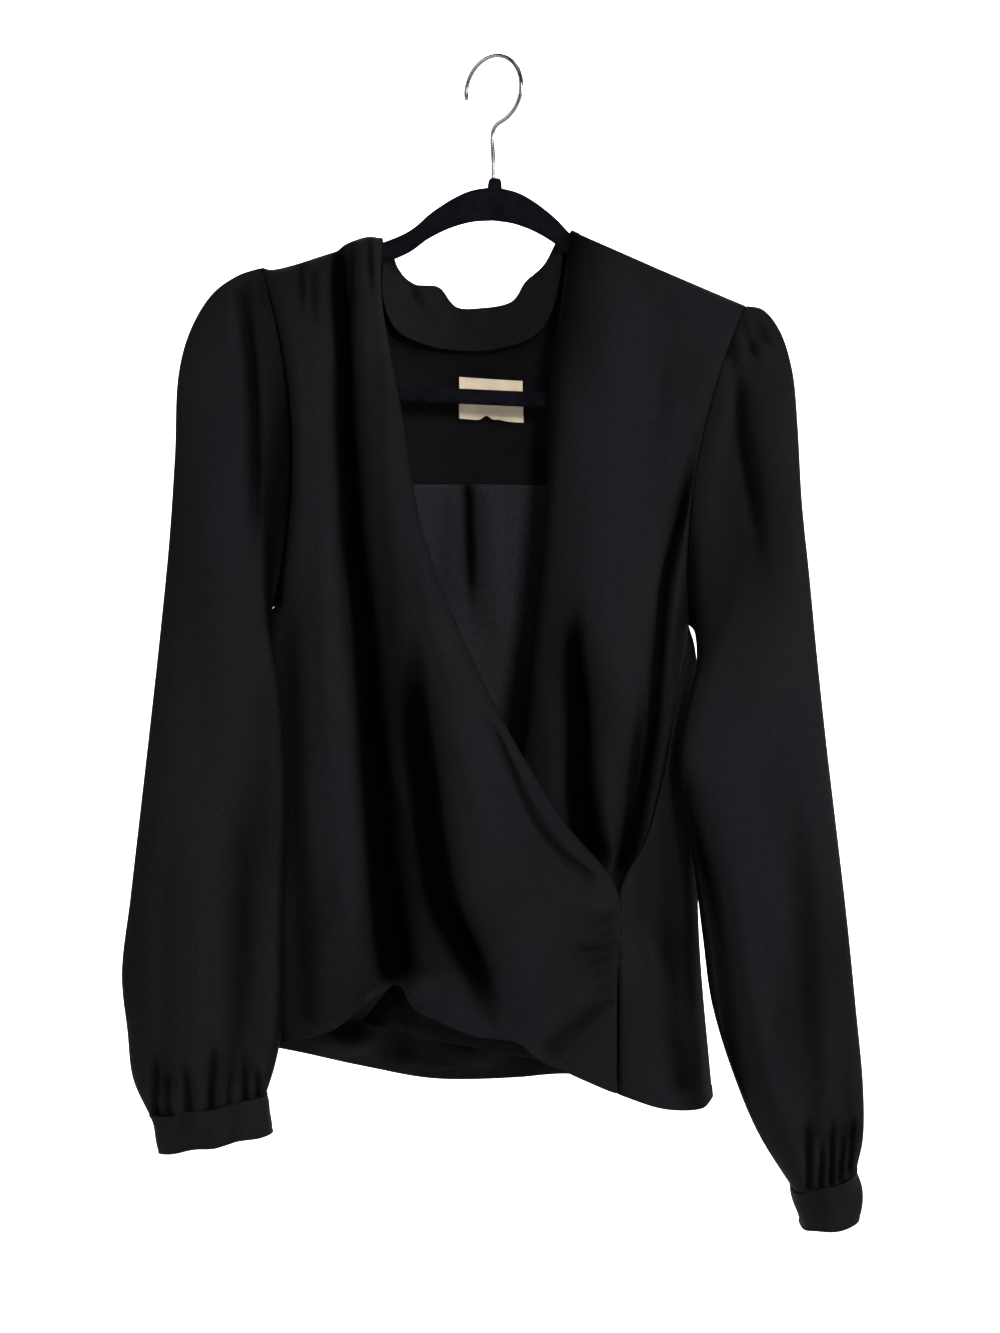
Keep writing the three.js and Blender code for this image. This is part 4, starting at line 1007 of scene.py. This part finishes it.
seam_x, seam_y, seam_top, seam_bottom = 89, -38, -606, -751
over_left = np.vstack([right_front_armhole, right_side_seam[1:]])
over_right = spline([
    right_neck_point, (-81, -14, -178), (-66, -20, -262), (-50, -27, -350), (-5, -35, -461), (50, -40, -555),
    (seam_x, seam_y, seam_top), (seam_x, seam_y, (seam_top + seam_bottom) / 2),
    (seam_x, seam_y, seam_bottom)], matching(over_left))
over_columns = 168
over_folds = [
    # The two deep folds, from the shoulder and from the chest, down to the hem.
    fold([(-114, -136), (-113, -174), (-110, -211), (-108, -270), (-105, -314), (-103, -354), (-98, -392),
          (-92, -462), (-89, -514), (-85, -567), (-81, -614), (-74, -657), (-70, -676)],
         (3.8, 11), 34, (12, 14), 2.2, 0.3),
    fold([(-57, -400), (-56, -438), (-54, -462), (-51, -497), (-46, -532), (-42, -567), (-33, -614),
          (-22, -637), (-12, -658), (-5, -680), (-4, -716)], (8, 9), 30, (120, 75), 2.2, -0.3),
    # The rolls beside them.
    fold([(-97, -150), (-93, -200), (-86, -260), (-78, -330), (-70, -420)], (6, 12), -3.0, (14, 120)),
    fold([(-88, -190), (-82, -300), (-75, -420), (-67, -520)], (6, 8), 4.0, (60, 90)),
    fold([(-60, -320), (-49, -378), (-38, -430), (-28, -483), (-19, -514), (-8, -550), (2, -590)],
         (9, 11), -4.5, (80, 60)),
    fold([(-70, -470), (-68, -560), (-58, -640), (-52, -690)], (10, 10), -4.0, (80, 14)),
    fold([(-122, -300), (-118, -420), (-112, -540), (-102, -650)], (9, 11), -3.5, (100, 60)),
    fold([(-146, -330), (-148, -450), (-143, -600), (-138, -715)], (9, 11), 6, (100, 20)),
    # The hollow inside the rolled edge, where it turns under.
    fold([(-14, -466), (3, -497), (14, -522), (29, -553), (47, -577), (74, -598)],
         (3, 3.6), 6.0, (40, 10), 2.4),
    # The bunched shoulder.
    fold([(-140, -150), (-139, -200)], (2.6, 4), 6, (5, 34)),
    fold([(-131, -156), (-129, -215)], (2.6, 4), 5.5, (5, 40)),
    fold([(-104, -136), (-103, -165), (-105, -225)], (2.4, 4), 9, (3, 50)),
    fold([(-91, -134), (-89, -165), (-86, -190)], (2.2, 3.4), 7.5, (3, 34)),
    fold([(-98, -134), (-97, -160)], (2.4, 3), -2.0, (4, 18)),
    # The gathers at the wrap seam, the drag lines that run into it, and the fold under them.
    fold([(91, -621), (78, -626), (60, -630)], (2.4, 3.4), 7.5, (3, 22)),
    fold([(91, -632), (79, -636), (66, -641)], (2.2, 3.0), 6.5, (3, 18)),
    fold([(91, -642), (76, -646), (44, -648)], (2.4, 3.6), 8.5, (3, 34)),
    fold([(91, -652), (73, -655), (54, -659)], (2.2, 3.4), 7.0, (3, 24)),
    fold([(91, -662), (78, -664), (62, -668)], (2.2, 3.0), 6.0, (3, 20)),
    fold([(91, -671), (76, -675), (56, -682)], (2.2, 3.6), 5.0, (3, 22)),
    fold([(88, -682), (66, -694), (46, -710), (30, -724)], (3, 7), 6.5, (6, 14)),
    fold([(80, -672), (54, -682), (30, -696), (12, -708)], (4, 9), -3.5, (10, 20)),
    fold([(84, -616), (60, -612), (34, -606), (10, -600)], (3, 9), -3.0, (6, 50)),
    # The pocket where the hem folds back on itself, above the small dark opening.
    fold([(-79, -680), (-66, -690), (-56, -697)], (3, 4), 6, (4, 5)),
    fold([(-96, -676), (-80, -690), (-70, -700)], (5, 4), -4, (10, 5)),
]
over_hem = spline([
    over_left[-1], (-152, -10, -717), (-117, -22, -707), (-88, -26, -684), (-73, -20, -674), (-66, -14, -676),
    (-56, -30, -690), (-38, -38, -698), (-13, -40, -708), (17, -41, -712), (32, -40, -724), (47, -40, -731),
    (seam_x, seam_y, seam_bottom)], even(over_columns))
over_top = spline([
    over_left[0], (-162, -1, -155.5), (-145, -1, -151.5), (-124, -2, -144.5), (-114, -4, -141.5),
    (-109, -5, -137.6), (-99, -6, -133.5), (-90, -5, -131.3), (-84, -3, -131.8), over_right[0]],
    even(over_columns))
over_points, over_shade_and_mottle = panel(
    over_top, over_hem, over_left, over_right,
    [(-130, 10), (-200, 14), (-300, 17), (-420, 20), (-560, 18), (-740, 14)], -1,
    turn={"left": 0.16, "top": 0.06, "right": 0.09}, folds=over_folds, wander=(41, 75, 1.8))
# The painted shade of the folds, with a random mottle, darkens the cloth's colour.
front_right_over = cloth_object("front_right_over_cloth", hemmed(over_points, 9), painted_shade_and_mottle=over_shade_and_mottle)
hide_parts("front_right_over")

# ---- The left side panel ----
# A narrow shaped panel let in below the left underarm, between the wrap seam and the side seam. It turns
# round to the back, so its outer part falls into shade; painted shade darkens it further.

panel_columns = 44
panel_left = spline([
    (141, 0, -431), (132, -20, -470), (121, -27, -528), (108.5, -30.5, -571), (89, -35, -607),
    (88.6, -37, -680), (88.6, -37.5, -751)], closer_at_ends(side_rows, 0.45))
panel_right = np.vstack([left_side_seam[:1] + (0, -2, -2), left_side_seam[1:]])
side_folds = [
    fold([(112, -560), (104, -600), (98, -650)], (5, 6), 3, (20, 40)),
    fold([(124, -600), (128, -680), (138, -755)], (8, 9), 7, (60, 10)),
    fold([(100, -625), (115, -655), (130, -688), (146, -722)], (5, 7), -3.5, (20, 20)),
    fold([(136, -520), (140, -600), (146, -680)], (6, 7), 4, (50, 50)),
]
side_points, side_shade_and_mottle = panel(
    spline([panel_left[0], panel_right[0]], even(panel_columns)),
    spline([panel_left[-1], (122, -34, -762), (150, -12, -766), panel_right[-1]], even(panel_columns)),
    panel_left, panel_right, [(-430, 0), (-560, 6), (-760, 6)], -1,
    turn={"right": 0.4, "left": 0.12}, folds=side_folds, wander=(51, 50, 0.8))
side_shade = 18  # painted shade where the panel turns away, less towards the hem
side_shade_and_mottle += (side_shade * soft_step((even(panel_columns) - 0.62) / 0.16)
                * soft_step((side_points[..., 2] + 752) / 90))
side_panel = cloth_object("side_panel_left_cloth", hemmed(side_points, 9), painted_shade_and_mottle=side_shade_and_mottle)
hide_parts("side_panel_left")
